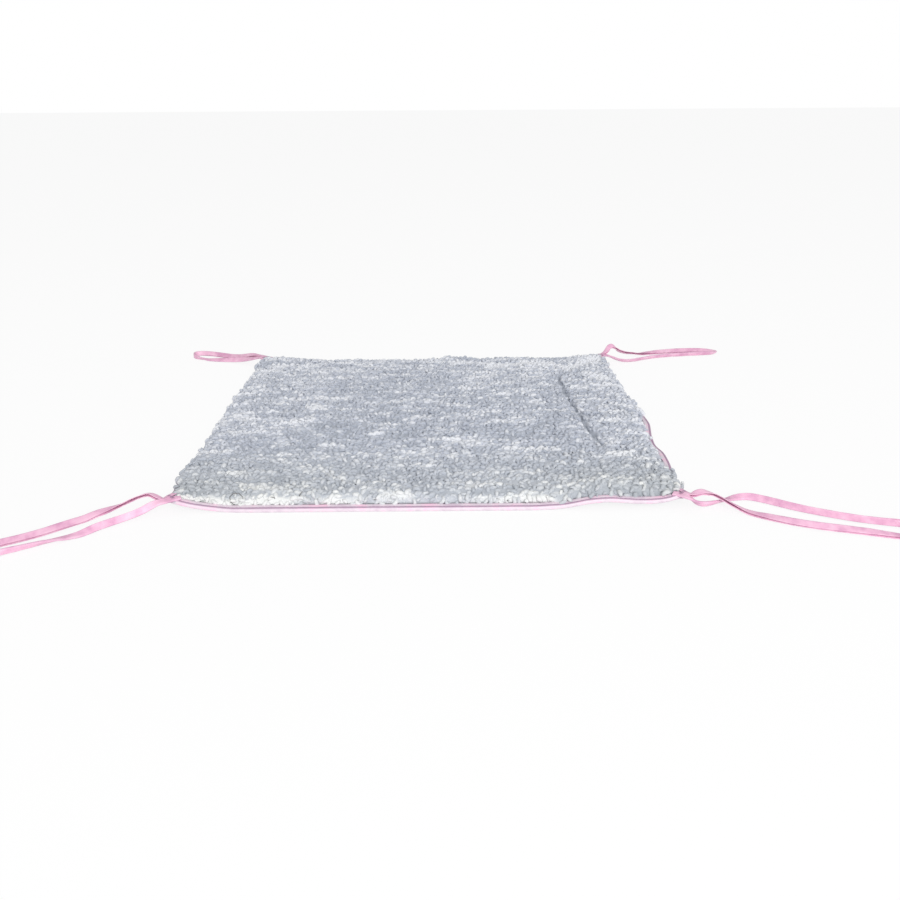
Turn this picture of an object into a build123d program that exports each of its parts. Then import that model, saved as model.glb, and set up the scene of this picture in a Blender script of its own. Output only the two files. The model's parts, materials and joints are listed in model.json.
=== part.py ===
from build123d import *
import os
from math import cos, hypot, radians, sin, sqrt

os.makedirs("parts", exist_ok=True)

# A chair cat hammock: a lambs-wool pad bound with satin tape, which runs on at each corner as a tie loop.
# Millimetres. +X is right, +Y is rear, +Z is up, and the origin is the centre of the flat underside.

# Driving dimensions: the pad
pad_width = 400.0
pad_depth = 400.0
pad_height = 11.0
crown = 1.5
pile_face = 6.4
shoulder = 7.0
lining_thickness = 0.9
wadding_thickness = 2.6
rim_thickness = 0.55
layer_gap = 0.2
layer_ease = 6.5
floor_cut = 0.5
corner_cut = 7.0
corner_press_reach = 40.0

# Driving dimensions: how the resting cloth rises off the floor and creases
corner_lift = 11.0
rest_bow = 0.3
wave_height = 6.5
edge_wander = 8.0
crease_depth = 2.2
crease_width = 14.0

# Driving dimensions: the satin bias tape, folded over the edge and run on as tie loops
binding_reach = 5.5
binding_wall = 0.6
binding_edge = 3.2
binding_height = 4.2
binding_round = 1.4
folded_width = 6.0
ply_thickness = 0.8
tab_width = 9.6
tab_length = 4.2
tab_thickness = 2.6
tab_clearance = 0.3
seam_overlap = 1.2
overrun = 20.0

# Tie loops: how far each reaches from its corner, and its heading in degrees from +X
front_left_reach = 166.0
front_left_heading = 214.0
front_right_reach = 170.0
front_right_heading = -15.0
rear_left_reach = 98.0
rear_left_heading = 158.0
rear_right_reach = 147.0
rear_right_heading = 15.0

# Places worked out from those sizes
half_width = pad_width / 2
half_depth = pad_depth / 2
rim_inset = binding_wall + 2 * layer_gap
pile_inset = binding_reach + layer_gap
rim_floor = binding_wall + layer_gap
sherpa_floor = lining_thickness + wadding_thickness + 2 * layer_gap
wadding_inset = pile_inset + shoulder / 2
axis_offset = tab_thickness / 2 + tab_clearance

# Distances in from the pile's edge at which a section lies, as shares of the shoulder
shoulder_shares = (0.0, 0.1, 0.28, 0.56, 1.0)

# Sections across and along the pad, as shares of half its width and half its depth
across_left_shares = (-0.89, -0.77, -0.705, -0.675, -0.645, -0.5, -0.25, 0.0)
across_right_shares = (0.135, 0.27, 0.41, 0.53, 0.61)
across_edge_shares = (0.79, 0.89)
along_shares = (
    -0.88, -0.8, -0.7, -0.59, -0.48, -0.36, -0.24, -0.12, 0.0,
    0.12, 0.25, 0.37, 0.48, 0.59, 0.7, 0.8, 0.88,
)

# Where the side edges wander out, at the rows of along_shares, as shares of edge_wander
left_wander_shares = (
    0.15, 0.4, 0.5, 0.4, 0.2, 0.2, 0.3, 0.35, 0.35,
    0.35, 0.35, 0.35, 0.3, 0.3, 0.25, 0.2, 0.1,
)
right_wander_shares = (
    0.1, 0.25, 0.4, 0.55, 0.6, 0.3, 0.5, 0.95, 1.0,
    0.8, 0.55, 0.45, 0.4, 0.35, 0.3, 0.2, 0.1,
)

# Lifted corners: side, end, share of corner_lift, reach as a share of half the width
corner_shares = (
    (-1, -1, 1.0, 0.28),
    (1, -1, 1.0, 0.36),
    (1, 1, 1.1, 0.38),
    (-1, 1, 1.1, 0.45),
)
corner_curl = 2.2
corner_press_share = 0.5

# Soft waves of the cloth: centre, reaches and height, as shares of half the width, half the depth and wave_height
wave_shares = (
    (0.68, -1.0, 0.2, 0.3, 1.0),
    (1.03, -0.1, 0.22, 0.2, 0.55),
    (1.03, -0.53, 0.18, 0.17, 0.5),
    (-1.02, -0.65, 0.15, 0.17, 0.45),
    (0.14, 0.96, 0.12, 0.22, 0.6),
    (0.41, 0.97, 0.13, 0.2, 0.4),
    (0.57, 0.76, 0.26, 0.24, 0.65),
    (0.83, 0.66, 0.14, 0.3, 0.45),
)

# The two creases where the pad was folded: place across at mid depth, lean, front end, rear end, depth share
right_crease_shares = (0.69, -0.03, -0.68, 0.5, 1.0)
left_crease_shares = (-0.675, 0.0, 0.0, 0.62, 0.5)

# Stations of the tape round each loop: distance out and aside, as shares of the reach; rise, as a share of
# the root's height; roll in degrees; and spread, from 0 where the tape is folded to 1 where it lies open
front_right_shares = (
    (0.032, 0.028, 0.95, 26, 0.0),
    (0.054, 0.041, 0.98, 26, 0.0),
    (0.075, 0.049, 0.95, 8, 0.0),
    (0.106, 0.052, 0.80, -14, 0.0),
    (0.141, 0.045, 0.59, -18, 0.0),
    (0.172, 0.037, 0.41, -14, 0.0),
    (0.203, 0.029, 0.27, -8, 0.0),
    (0.240, 0.018, 0.14, 0, 0.0),
    (0.282, 0.002, 0.02, 12, 0.1),
    (0.330, -0.018, 0.0, 26, 0.1),
    (0.384, -0.038, 0.0, 36, 0.1),
    (0.450, -0.056, 0.0, 42, 0.1),
    (0.541, -0.069, 0.0, 44, 0.1),
    (0.693, -0.075, 0.0, 38, 0.1),
    (0.780, -0.077, 0.0, 28, 0.1),
    (0.862, -0.075, 0.0, 10, 0.1),
    (0.912, -0.071, 0.0, -22, 0.1),
    (0.952, -0.062, 0.0, -56, 0.1),
    (0.983, -0.042, 0.0, -82, 0.1),
    (0.997, -0.013, 0.0, -90, 0.1),
    (0.978, 0.012, 0.0, -86, 0.2),
    (0.930, 0.023, 0.0, -72, 0.3),
    (0.870, 0.028, 0.0, -60, 0.4),
    (0.791, 0.032, 0.0, -52, 0.4),
    (0.700, 0.040, 0.0, -50, 0.4),
    (0.580, 0.063, 0.0, -50, 0.4),
    (0.460, 0.098, 0.0, -50, 0.3),
    (0.388, 0.129, 0.0, -50, 0.2),
    (0.321, 0.157, 0.0, -50, 0.1),
    (0.262, 0.171, 0.0, -42, 0.1),
    (0.214, 0.163, 0.0, -20, 0.0),
    (0.174, 0.132, 0.0, 12, 0.0),
    (0.128, 0.078, 0.04, 42, 0.0),
    (0.078, 0.031, 0.09, 56, 0.0),
    (0.048, 0.010, 0.24, 46, 0.0),
    (0.028, -0.002, 0.46, 28, 0.0),
)
front_left_shares = (
    (0.040, -0.058, 1.22, 5, 0.0),
    (0.078, -0.068, 1.12, 16, 0.0),
    (0.114, -0.076, 0.93, 20, 0.0),
    (0.166, -0.089, 0.70, 10, 0.0),
    (0.218, -0.106, 0.43, -18, 0.1),
    (0.270, -0.114, 0.17, -42, 0.2),
    (0.328, -0.111, 0.0, -52, 0.2),
    (0.387, -0.101, 0.0, -54, 0.2),
    (0.449, -0.090, 0.0, -52, 0.2),
    (0.519, -0.078, 0.0, -48, 0.2),
    (0.604, -0.073, 0.0, -46, 0.2),
    (0.690, -0.073, 0.0, -48, 0.2),
    (0.780, -0.070, 0.0, -54, 0.2),
    (0.870, -0.064, 0.0, -68, 0.2),
    (0.945, -0.050, 0.0, -84, 0.2),
    (0.988, -0.022, 0.0, -90, 0.2),
    (0.996, 0.010, 0.0, -90, 0.2),
    (0.972, 0.034, 0.0, -85, 0.2),
    (0.920, 0.044, 0.0, -78, 0.2),
    (0.840, 0.040, 0.0, -71, 0.2),
    (0.765, 0.030, 0.0, -66, 0.2),
    (0.695, 0.024, 0.0, -62, 0.2),
    (0.622, 0.025, 0.0, -56, 0.2),
    (0.550, 0.024, 0.0, -44, 0.2),
    (0.492, 0.021, 0.0, -28, 0.1),
    (0.438, 0.021, 0.0, -10, 0.1),
    (0.390, 0.020, 0.0, 8, 0.1),
    (0.344, 0.014, 0.0, 28, 0.1),
    (0.298, 0.004, 0.0, 44, 0.2),
    (0.233, -0.009, 0.0, 54, 0.2),
    (0.161, -0.013, 0.08, 56, 0.2),
    (0.100, -0.009, 0.27, 52, 0.2),
    (0.058, -0.003, 0.56, 38, 0.1),
    (0.026, 0.004, 0.80, 18, 0.0),
)
rear_left_shares = (
    (0.090, -0.034, 0.88, -14, 0.0),
    (0.150, -0.054, 0.76, -34, 0.1),
    (0.225, -0.078, 0.60, -48, 0.1),
    (0.320, -0.108, 0.38, -54, 0.1),
    (0.430, -0.144, 0.17, -56, 0.1),
    (0.550, -0.176, 0.03, -58, 0.1),
    (0.680, -0.195, 0.0, -58, 0.1),
    (0.800, -0.200, 0.0, -58, 0.1),
    (0.900, -0.196, 0.0, -60, 0.1),
    (0.980, -0.178, 0.0, -68, 0.1),
    (1.032, -0.140, 0.0, -82, 0.1),
    (1.046, -0.094, 0.0, -90, 0.1),
    (1.022, -0.052, 0.0, -90, 0.1),
    (0.974, -0.022, 0.0, -78, 0.0),
    (0.915, -0.006, 0.0, -54, 0.0),
    (0.850, -0.002, 0.0, -28, 0.0),
    (0.780, -0.008, 0.0, -6, 0.0),
    (0.690, -0.022, 0.0, 12, 0.0),
    (0.590, -0.036, 0.0, 24, 0.0),
    (0.490, -0.048, 0.03, 34, 0.0),
    (0.390, -0.050, 0.10, 38, 0.0),
    (0.290, -0.036, 0.24, 36, 0.0),
    (0.200, -0.012, 0.42, 28, 0.0),
    (0.120, 0.014, 0.64, 14, 0.0),
)
rear_right_shares = (
    (0.028, 0.020, 1.14, 20, 0.0),
    (0.050, 0.024, 1.42, 48, 0.0),
    (0.076, 0.027, 1.52, 50, 0.0),
    (0.106, 0.032, 1.38, 22, 0.0),
    (0.148, 0.046, 1.02, -6, 0.0),
    (0.220, 0.076, 0.62, -14, 0.0),
    (0.300, 0.112, 0.38, -10, 0.0),
    (0.380, 0.144, 0.20, 0, 0.1),
    (0.462, 0.164, 0.07, 18, 0.1),
    (0.557, 0.169, 0.0, 38, 0.1),
    (0.689, 0.159, 0.0, 48, 0.1),
    (0.818, 0.139, 0.0, 50, 0.1),
    (0.930, 0.108, 0.0, 58, 0.1),
    (1.000, 0.076, 0.0, 74, 0.1),
    (1.034, 0.044, 0.0, 88, 0.1),
    (1.020, 0.016, 0.0, 90, 0.1),
    (0.970, 0.008, 0.0, 76, 0.1),
    (0.900, 0.015, 0.0, 62, 0.1),
    (0.801, 0.027, 0.0, 54, 0.1),
    (0.671, 0.040, 0.0, 50, 0.1),
    (0.539, 0.044, 0.0, 48, 0.1),
    (0.430, 0.036, 0.0, 46, 0.1),
    (0.330, 0.012, 0.0, 44, 0.1),
    (0.245, -0.004, 0.0, 40, 0.1),
    (0.175, 0.002, 0.06, 34, 0.1),
    (0.115, 0.004, 0.30, 24, 0.0),
    (0.065, -0.002, 0.62, 12, 0.0),
)


def lift(x, y):
    """How far the cloth rises off the floor at a place."""
    raised = rest_bow * (1 - (x / half_width) ** 2)
    for side, end, height_share, reach_share in corner_shares:
        away = hypot(x - side * half_width, y - end * half_depth) / (reach_share * half_width)
        raised += corner_lift * height_share * max(0.0, 1 - away) ** corner_curl
    for x_share, y_share, across_share, along_share, height_share in wave_shares:
        across = (x / half_width - x_share) / across_share
        along = (y / half_depth - y_share) / along_share
        raised += wave_height * height_share * max(0.0, 1 - across**2 - along**2) ** 2
    return raised


def crease_place(y, shares):
    """Where a crease lies across the pad in a row."""
    place_share, lean_share = shares[:2]
    return half_width * (place_share + lean_share * y / half_depth)


def crease_groove(x, y, shares):
    """How deep a crease is pressed into the pile at a place."""
    front_share, rear_share, depth_share = shares[2:]
    middle_share = (front_share + rear_share) / 2
    along = (y / half_depth - middle_share) / (rear_share - front_share) * 2
    across = abs(x - crease_place(y, shares)) / (crease_width / 2)
    return crease_depth * depth_share * sqrt(max(0.0, 1 - along**2)) * max(0.0, 1 - across)


def wander(y, shares):
    """How far a side edge stands out of the straight line in a row."""
    places = (-1.0, *along_shares, 1.0)
    values = (0.0, *shares, 0.0)
    along = y / half_depth
    for low, high, first, second in zip(places, places[1:], values, values[1:]):
        if low <= along <= high:
            return edge_wander * (first + (second - first) * (along - low) / (high - low))
    return 0.0


def edge_insets(least):
    """How far in from an edge the sections lie round the rim and the pile's shoulder."""
    insets = [rim_inset] + [pile_inset + shoulder * share for share in shoulder_shares]
    return [inset for inset in insets if inset >= least]


def rows_from(least):
    """The rows of sections along the pad, from front to rear."""
    front = [inset - half_depth for inset in edge_insets(least)]
    return front + [share * half_depth for share in along_shares] + [-row for row in reversed(front)]


def columns_from(least, y):
    """The places across the pad of a section's points, each with its distance in from the nearer side edge."""
    left = -half_width - wander(y, left_wander_shares)
    right = half_width + wander(y, right_wander_shares)
    crease = crease_place(y, right_crease_shares)
    places = [left + inset for inset in edge_insets(least)]
    places += [share * half_width for share in across_left_shares + across_right_shares]
    places += [crease - crease_width / 2, crease, crease + crease_width / 2]
    places += [share * half_width for share in across_edge_shares]
    places += [right - inset for inset in reversed(edge_insets(least))]
    return [(x, min(x - left, right - x)) for x in places]


def ease(across, along):
    """From 0 at the bound rim to 1 where the layers have their full thickness."""
    inset = min(across, along) - pile_inset - shoulder / 3
    return min(1.0, max(0.0, inset / layer_ease))


def round_share(inset):
    """The quarter round of the pile's shoulder, from 0 at its face to 1 on top."""
    along = min(1.0, max(0.0, (inset - pile_inset) / shoulder))
    return sqrt(1 - (1 - along) ** 2)


def lining_bottom(across, along):
    return rim_floor - (rim_floor + floor_cut) * ease(across, along)


def lining_top(across, along):
    rim = rim_floor + rim_thickness
    return rim + (lining_thickness - rim) * ease(across, along)


def wadding_bottom(across, along):
    return lining_top(across, along) + layer_gap


def wadding_top(across, along):
    return sherpa_bottom(across, along) - layer_gap


def sherpa_bottom(across, along):
    rim = rim_floor + rim_thickness + layer_gap
    return rim + (sherpa_floor - rim) * ease(across, along)


def sherpa_rim_top(across, along):
    """The rim's upper face, just under the tape's upper leg, which slopes up from its fold."""
    slope = (binding_height - binding_edge) / (binding_reach - binding_round)
    inset = min(across, along, binding_reach)
    return binding_edge - binding_wall - layer_gap + slope * (inset - binding_round)


def pile_top(x, y, across, along):
    """The top of the pile, crowned in the middle, round at the shoulders and pressed in along the creases."""
    domed = (1 - (x / half_width) ** 2) * (1 - (y / half_depth) ** 2)
    full = pad_height - pile_face + crown * max(0.0, domed)
    full -= crease_groove(x, y, right_crease_shares) + crease_groove(x, y, left_crease_shares)
    height = pile_face + full * round_share(across) * round_share(along)
    near = max(0.0, 1 - hypot(half_width - abs(x), half_depth - abs(y)) / corner_press_reach)
    return height - (height - binding_height) * corner_press_share * near


def layer_row(y, least, low, high):
    """One closed section of a cloth layer across the pad, between its lower and upper face."""
    along = half_depth - abs(y)
    columns = columns_from(least, y)
    under = [(x, lift(x, y) + low(across, along)) for x, across in columns]
    over = [(x, lift(x, y) + high(across, along)) for x, across in reversed(columns)]
    with BuildSketch(Plane.XZ.offset(-y)) as section:
        with BuildLine():
            Polyline(*under, *over, close=True)
        make_face()
    return section.sketch


def sherpa_row(y):
    """One section of the sherpa panel: the pile, and at both sides the rim that the tape grips."""
    along = half_depth - abs(y)
    columns = columns_from(rim_inset, y)
    under = [(x, lift(x, y) + sherpa_bottom(across, along)) for x, across in columns]
    over = [(x, lift(x, y) + pile_top(x, y, across, along)) for x, across in columns[-2:0:-1]]
    rim = [(x, lift(x, y) + sherpa_rim_top(across, along)) for x, across in columns]
    with BuildSketch(Plane.XZ.offset(-y)) as section:
        with BuildLine():
            Polyline(*under, rim[-1], rim[-2], *over, rim[1], rim[0], close=True)
        make_face()
    return section.sketch


def rim_row(y):
    """One section of the sherpa panel's front or rear rim."""
    return layer_row(y, rim_inset, sherpa_bottom, sherpa_rim_top)


def corner_offcuts():
    """The four corners beyond the cuts square to their diagonals, where the tie loops are sewn on."""
    reach = corner_cut + overrun
    with BuildSketch(Plane.XY.offset(-overrun)) as offcuts:
        for side, end, _, _ in corner_shares:
            with BuildLine():
                Polyline(
                    (side * (half_width + overrun), end * (half_depth + overrun)),
                    (side * (half_width - reach), end * (half_depth + overrun)),
                    (side * (half_width + overrun), end * (half_depth - reach)),
                    close=True,
                )
            make_face()
    return offcuts.sketch


def trim_to_floor_and_corners():
    """Leave the underside flat where the cloth rests, and cut the corners off."""
    split(bisect_by=Plane.XY, keep=Keep.TOP)
    extrude(corner_offcuts(), amount=3 * overrun, mode=Mode.SUBTRACT)


def tape_section(x, y, inward_x, inward_y):
    """The folded tape's section at a place on the edge: two legs joined by a rounded fold."""

    def at(inset, height):
        here = lift(x + inset * inward_x, y + inset * inward_y)
        return (inset * hypot(inward_x, inward_y), here + height)

    flat = binding_round * (1 - sqrt(0.5))
    plane = Plane(origin=(x, y, 0), x_dir=(inward_x, inward_y, 0), z_dir=(inward_y, -inward_x, 0))
    with BuildSketch(plane) as section:
        with BuildLine():
            Line(at(binding_reach, -floor_cut), at(binding_round, -floor_cut))
            ThreePointArc(
                at(binding_round, -floor_cut),
                at(flat, flat - floor_cut),
                at(0, binding_round - floor_cut),
            )
            Line(at(0, binding_round - floor_cut), at(0, binding_edge - binding_round))
            ThreePointArc(
                at(0, binding_edge - binding_round),
                at(flat, binding_edge - flat),
                at(binding_round, binding_edge),
            )
            Polyline(
                at(binding_round, binding_edge),
                at(binding_reach, binding_height),
                at(binding_reach, binding_height - binding_wall),
                at(binding_round, binding_edge - binding_wall),
                at(binding_wall, binding_edge - 2 * binding_wall + layer_gap),
                at(binding_wall, 2 * binding_wall - layer_gap),
                at(binding_round, binding_wall),
                at(binding_reach, binding_wall),
                at(binding_reach, -floor_cut),
            )
        make_face()
    return section.sketch


def end_binding_sections(end):
    """Sections of the tape along the front edge (end -1, left to right) or the rear (end 1, right to left)."""
    y = end * half_depth
    places = [x for x, _ in columns_from(corner_cut, y)]
    middle = [tape_section(x, y, 0, -end) for x in places]
    first = tape_section(end * half_width, y, -end, -end)
    last = tape_section(-end * half_width, y, end, -end)
    return [first, *(middle if end < 0 else reversed(middle)), last]


def side_binding_sections(side, shares):
    """Sections of the tape along the right edge (side 1, front to rear) or the left (side -1, rear to front)."""
    middle = []
    for y in rows_from(corner_cut):
        middle.append(tape_section(side * (half_width + wander(y, shares)), y, -side, 0))
    first = tape_section(side * half_width, -side * half_depth, -side, side)
    last = tape_section(side * half_width, side * half_depth, -side, -side)
    return [first, *(middle if side > 0 else reversed(middle)), last]


def tape_station(centre, travel, roll, width, thickness):
    """One section of a tie loop's tape, square to its travel and rolled about it."""
    level = Vector(-travel.Y, travel.X, 0).normalized()
    up = travel.cross(level)
    across = level * cos(radians(roll)) + up * sin(radians(roll))
    with BuildSketch(Plane(origin=centre, x_dir=across, z_dir=travel)) as section:
        Rectangle(width, thickness)
    return section.sketch


def loop_root(side, end):
    """Where a loop's root hinges at its corner, and the way out from the corner."""
    out = Vector(side, end, 0).normalized()
    seat = corner_cut / 2
    height = lift(side * (half_width - seat), end * (half_depth - seat)) + binding_edge / 2
    face = Vector(side * (half_width - seat), end * (half_depth - seat), height)
    return face + out * axis_offset, out


def loop_sections(side, end, heading, reach, shares):
    """All sections of a loop's tape, from one half of its root tab, round the loop and back to the other."""
    root, out = loop_root(side, end)
    left = Vector(-out.Y, out.X, 0)
    ahead = Vector(cos(radians(heading)), sin(radians(heading)), 0)
    beside = Vector(-ahead.Y, ahead.X, 0)
    corner = Vector(side * half_width, end * half_depth, 0)
    start = root + out * (tab_length - seam_overlap) + left * (side * tab_width / 4)
    finish = root + out * (tab_length - seam_overlap) - left * (side * tab_width / 4)
    places = []
    for out_share, aside_share, rise_share, roll, spread in shares:
        width = folded_width * (1 + spread)
        thickness = ply_thickness * (2 - spread)
        rest = (width * abs(sin(radians(roll))) + thickness * abs(cos(radians(roll)))) / 2
        height = Vector(0, 0, rest + rise_share * root.Z)
        centre = corner + ahead * (out_share * reach) + beside * (aside_share * reach) + height
        places.append((centre, roll, width, thickness))
    centres = [start] + [place[0] for place in places] + [finish]
    root_width = tab_width / 2 - layer_gap
    sections = [tape_station(start, out, 0, root_width, 2 * ply_thickness)]
    for before, (centre, roll, width, thickness), after in zip(centres, places, centres[2:]):
        sections.append(tape_station(centre, (after - before).normalized(), roll, width, thickness))
    sections.append(tape_station(finish, out * -1, 0, root_width, 2 * ply_thickness))
    return sections


with BuildPart() as lining_panel:
    loft(sections=[layer_row(y, 0, lining_bottom, lining_top) for y in rows_from(0)], ruled=True)
    trim_to_floor_and_corners()
lining_panel.part.label = "lining_panel"
export_step(lining_panel.part, "parts/lining_panel.step")

with BuildPart() as wadding:
    wadding_rows = rows_from(wadding_inset)
    loft(sections=[layer_row(y, wadding_inset, wadding_bottom, wadding_top) for y in wadding_rows], ruled=True)
wadding.part.label = "wadding"
export_step(wadding.part, "parts/wadding.step")

with BuildPart() as sherpa_panel:
    loft(sections=[sherpa_row(y) for y in rows_from(pile_inset)], ruled=True)
    for end in (-1, 1):
        rim_rows = [rim_row(end * (half_depth - inset)) for inset in (rim_inset, pile_inset)]
        loft(sections=rim_rows, ruled=True)
    extrude(corner_offcuts(), amount=3 * overrun, mode=Mode.SUBTRACT)
sherpa_panel.part.label = "sherpa_panel"
export_step(sherpa_panel.part, "parts/sherpa_panel.step")

binding_sections = {
    "binding_front": end_binding_sections(-1),
    "binding_right": side_binding_sections(1, right_wander_shares),
    "binding_rear": end_binding_sections(1),
    "binding_left": side_binding_sections(-1, left_wander_shares),
}
for name, sections in binding_sections.items():
    with BuildPart() as binding:
        loft(sections=sections, ruled=True)
        trim_to_floor_and_corners()
    binding.part.label = name
    export_step(binding.part, f"parts/{name}.step")

tie_loops = {
    "tie_loop_front_left": (-1, -1, front_left_heading, front_left_reach, front_left_shares),
    "tie_loop_front_right": (1, -1, front_right_heading, front_right_reach, front_right_shares),
    "tie_loop_rear_left": (-1, 1, rear_left_heading, rear_left_reach, rear_left_shares),
    "tie_loop_rear_right": (1, 1, rear_right_heading, rear_right_reach, rear_right_shares),
}
for name, (side, end, heading, reach, shares) in tie_loops.items():
    root, out = loop_root(side, end)
    with BuildPart() as tie_loop:
        with BuildSketch(Plane(origin=root, x_dir=out, z_dir=out.cross(Vector(0, 0, 1)))):
            Circle(tab_thickness / 2)
            Rectangle(tab_length, tab_thickness, align=(Align.MIN, Align.CENTER))
        extrude(amount=tab_width / 2, both=True)
        tape = loop_sections(side, end, heading, reach, shares)
        for section, following in zip(tape, tape[1:]):
            loft(sections=[section, following], ruled=True)
    tie_loop.part.label = name
    export_step(tie_loop.part, f"parts/{name}.step")
    print(name, "hinge at", [round(value, 3) for value in root], "volume", round(tie_loop.part.volume, 1))
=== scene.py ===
import json
import math

import bmesh
import bpy
import numpy as np
from bpy.props import FloatProperty, FloatVectorProperty, PointerProperty
from mathutils import Matrix, Vector, noise
from mathutils.bvhtree import BVHTree


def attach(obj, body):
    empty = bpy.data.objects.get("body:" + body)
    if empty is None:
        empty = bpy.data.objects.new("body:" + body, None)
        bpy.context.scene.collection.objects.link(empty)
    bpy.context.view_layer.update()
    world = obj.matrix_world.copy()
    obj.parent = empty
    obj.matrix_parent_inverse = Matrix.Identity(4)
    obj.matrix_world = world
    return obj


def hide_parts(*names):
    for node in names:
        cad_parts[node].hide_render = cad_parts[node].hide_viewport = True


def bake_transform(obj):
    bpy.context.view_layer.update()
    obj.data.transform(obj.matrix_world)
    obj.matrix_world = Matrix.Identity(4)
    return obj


bl_info = {
    "name": "Chair Cat Hammock",
    "version": (1, 0, 0),
    "blender": (4, 5, 0),
    "location": "View3D > Sidebar > Hammock",
    "description": "Dresses the sherpa pad, its satin tape binding and its tie loops",
    "category": "Object",
}

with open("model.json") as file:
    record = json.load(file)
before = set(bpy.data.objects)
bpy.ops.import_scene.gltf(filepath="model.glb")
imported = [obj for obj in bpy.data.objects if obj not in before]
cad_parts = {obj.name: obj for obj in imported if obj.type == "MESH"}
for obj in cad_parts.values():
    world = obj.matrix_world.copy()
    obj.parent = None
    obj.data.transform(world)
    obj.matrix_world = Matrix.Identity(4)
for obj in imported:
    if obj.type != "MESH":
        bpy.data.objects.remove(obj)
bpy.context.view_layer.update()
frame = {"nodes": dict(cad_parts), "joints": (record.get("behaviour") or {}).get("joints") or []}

MM = 0.001
UP = Vector((0, 0, 1))
DOWN = Vector((0, 0, -1))
PAD = "pad"
HALF_WIDTH = 200.0 * MM
HALF_DEPTH = 200.0 * MM

# The corners are cut square to their diagonals, this far in
CORNER_CUT = 7.0 * MM

# The four bound edges: which way each runs, and the way out from the pad
EDGES = {
    "front": (Vector((1, 0, 0)), Vector((0, -1, 0))),
    "right": (Vector((0, 1, 0)), Vector((1, 0, 0))),
    "rear": (Vector((-1, 0, 0)), Vector((0, 1, 0))),
    "left": (Vector((0, -1, 0)), Vector((-1, 0, 0))),
}

# The upper leg of the folded tape on the edge, as the frame's solids have it: height at its rounded fold
# and at its free edge, and how far in each lies
TAPE_EDGE = 3.2 * MM
TAPE_TOP = 4.2 * MM
TAPE_ROUND = 1.4 * MM
TAPE_REACH = 5.5 * MM
TAPE_SLOPE = (TAPE_TOP - TAPE_EDGE) / (TAPE_REACH - TAPE_ROUND)

# The rays that find the tape's fold go in from this far out, up to this height and this far apart
RAY_START = 40 * MM
RAY_TOP = 24 * MM
RAY_STEP = 0.5 * MM

# The cloth's rise is measured from above at these two distances in from the fold
RISE_INSETS = (1.6 * MM, 5.2 * MM)
RISE_START = 60 * MM

# Stations along an edge, where only its line is needed
EDGE_SPACING = 3 * MM

# The two fold lines, as places in millimetres from front to rear, and how strongly each is pressed in, which
# also sets how much darker the pile is painted there, as painted shade
CREASES = (
    (((151, -93), (145.5, -56), (140, 23), (135.5, 105), (138, 112), (158, 143), (188, 178)), 1.0),
    (((-135, 12), (-136, 60), (-133, 116)), 0.5),
)
CREASE_WIDTH = 2.4 * MM

# Sizes along X, Y and Z of what varies in the pile: the broad rows across the pad, the tufts in them, the
# streaks where it was brushed, the ragged edges of its pale places, and its swell over the side tapes
ROW_SIZE = (34 * MM, 9 * MM, 30 * MM)
TUFT_SIZE = (9 * MM, 5.5 * MM, 7 * MM)
STREAK_SIZE = (32 * MM, 4.6 * MM, 30 * MM)
RAGGED_SIZE = (5 * MM, 30 * MM, 9 * MM)
SWELL_SIZE = (40 * MM, 14 * MM, 40 * MM)

# Where the pile is brushed up into ridges that face the lamp, painted paler: partly its pale side, partly
# painted light. Each band: a line and its half width in millimetres, and how pale
PALE_BANDS = (
    (((66, 153), (100, 152), (141, 150)), 9.0, 0.26),
    (((151, 137), (168, 158), (189, 180)), 7.0, 0.34),
    (((-4, 171), (58, 167)), 6.0, 0.2),
    (((-105, 139), (-58, 134)), 2.5, 0.24),
    (((-131, -30), (-110, -48), (-96, -72)), 3.0, 0.24),
)

# Where the pile leaves the side tape bare: side, from and to along Y, and the share of the spread there
SPREAD_GAPS = ((1, -130, -70, -0.6), (1, -50, -8, -0.6))

# The pile's random draws start from this number, and its curls are held in this many pieces, front to rear
SEED = 11
CURL_BANDS = 8

# Kinds of curl: ring and strand, as shares of the settings'; arc in degrees; rise, as a share of the strand;
# and how many of all curls are of the kind. Locks run mostly across the pad, and tight curls point anywhere.
LOCKS = ((2.0, 1.0, 105, 0.6, 0.3), (1.6, 1.1, 125, 1.0, 0.25))
TIGHT_CURLS = ((1.0, 0.9, 280, 0.9, 0.15), (0.8, 1.0, 250, 1.3, 0.15), (1.15, 0.8, 230, 0.6, 0.15))

# How uneven the surface of a strand is
FIBRE_SCATTER = 0.17 * MM

# Curls stand where a face looks at least this far up, and where the creases are not pressed in further than
# this. Locks this near to the long crease lie along it.
LEAST_UP = -0.35
CREASE_BARE = 0.62
CREASE_REACH = 7 * MM

# Loose hairs on the front face: place along X and height in millimetres, ring radius, arc and lean in degrees
HAIRS = (
    (-146.0, 9.0, 5.2, 290, 250),
    (-98.0, 10.5, 12.0, 46, 205),
    (-136.0, 7.0, 0.9, 200, 60),
    (-118.0, 9.0, 3.5, 80, 300),
)
HAIR_RADIUS = 0.28 * MM
HAIR_RISE = 0.8 * MM

# The least height of any tape over the ground
CLEAR_OF_GROUND = 0.05 * MM

# The line of stitches: its distance in from the fold in millimetres, the heights of its groove over the
# cloth's rise on the upper and the lower leg, its share of the way from the outer to the inner rise, the
# least height of a stitch below, and a stitch's radius
SEAM_INSET = 2.1
SEAM_TOP = 2.78 * MM
SEAM_BOTTOM = 0.16 * MM
SEAM_SHARE = 0.14
SEAM_FLOOR = 0.3 * MM
STITCH_RADIUS = 0.22 * MM
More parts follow.
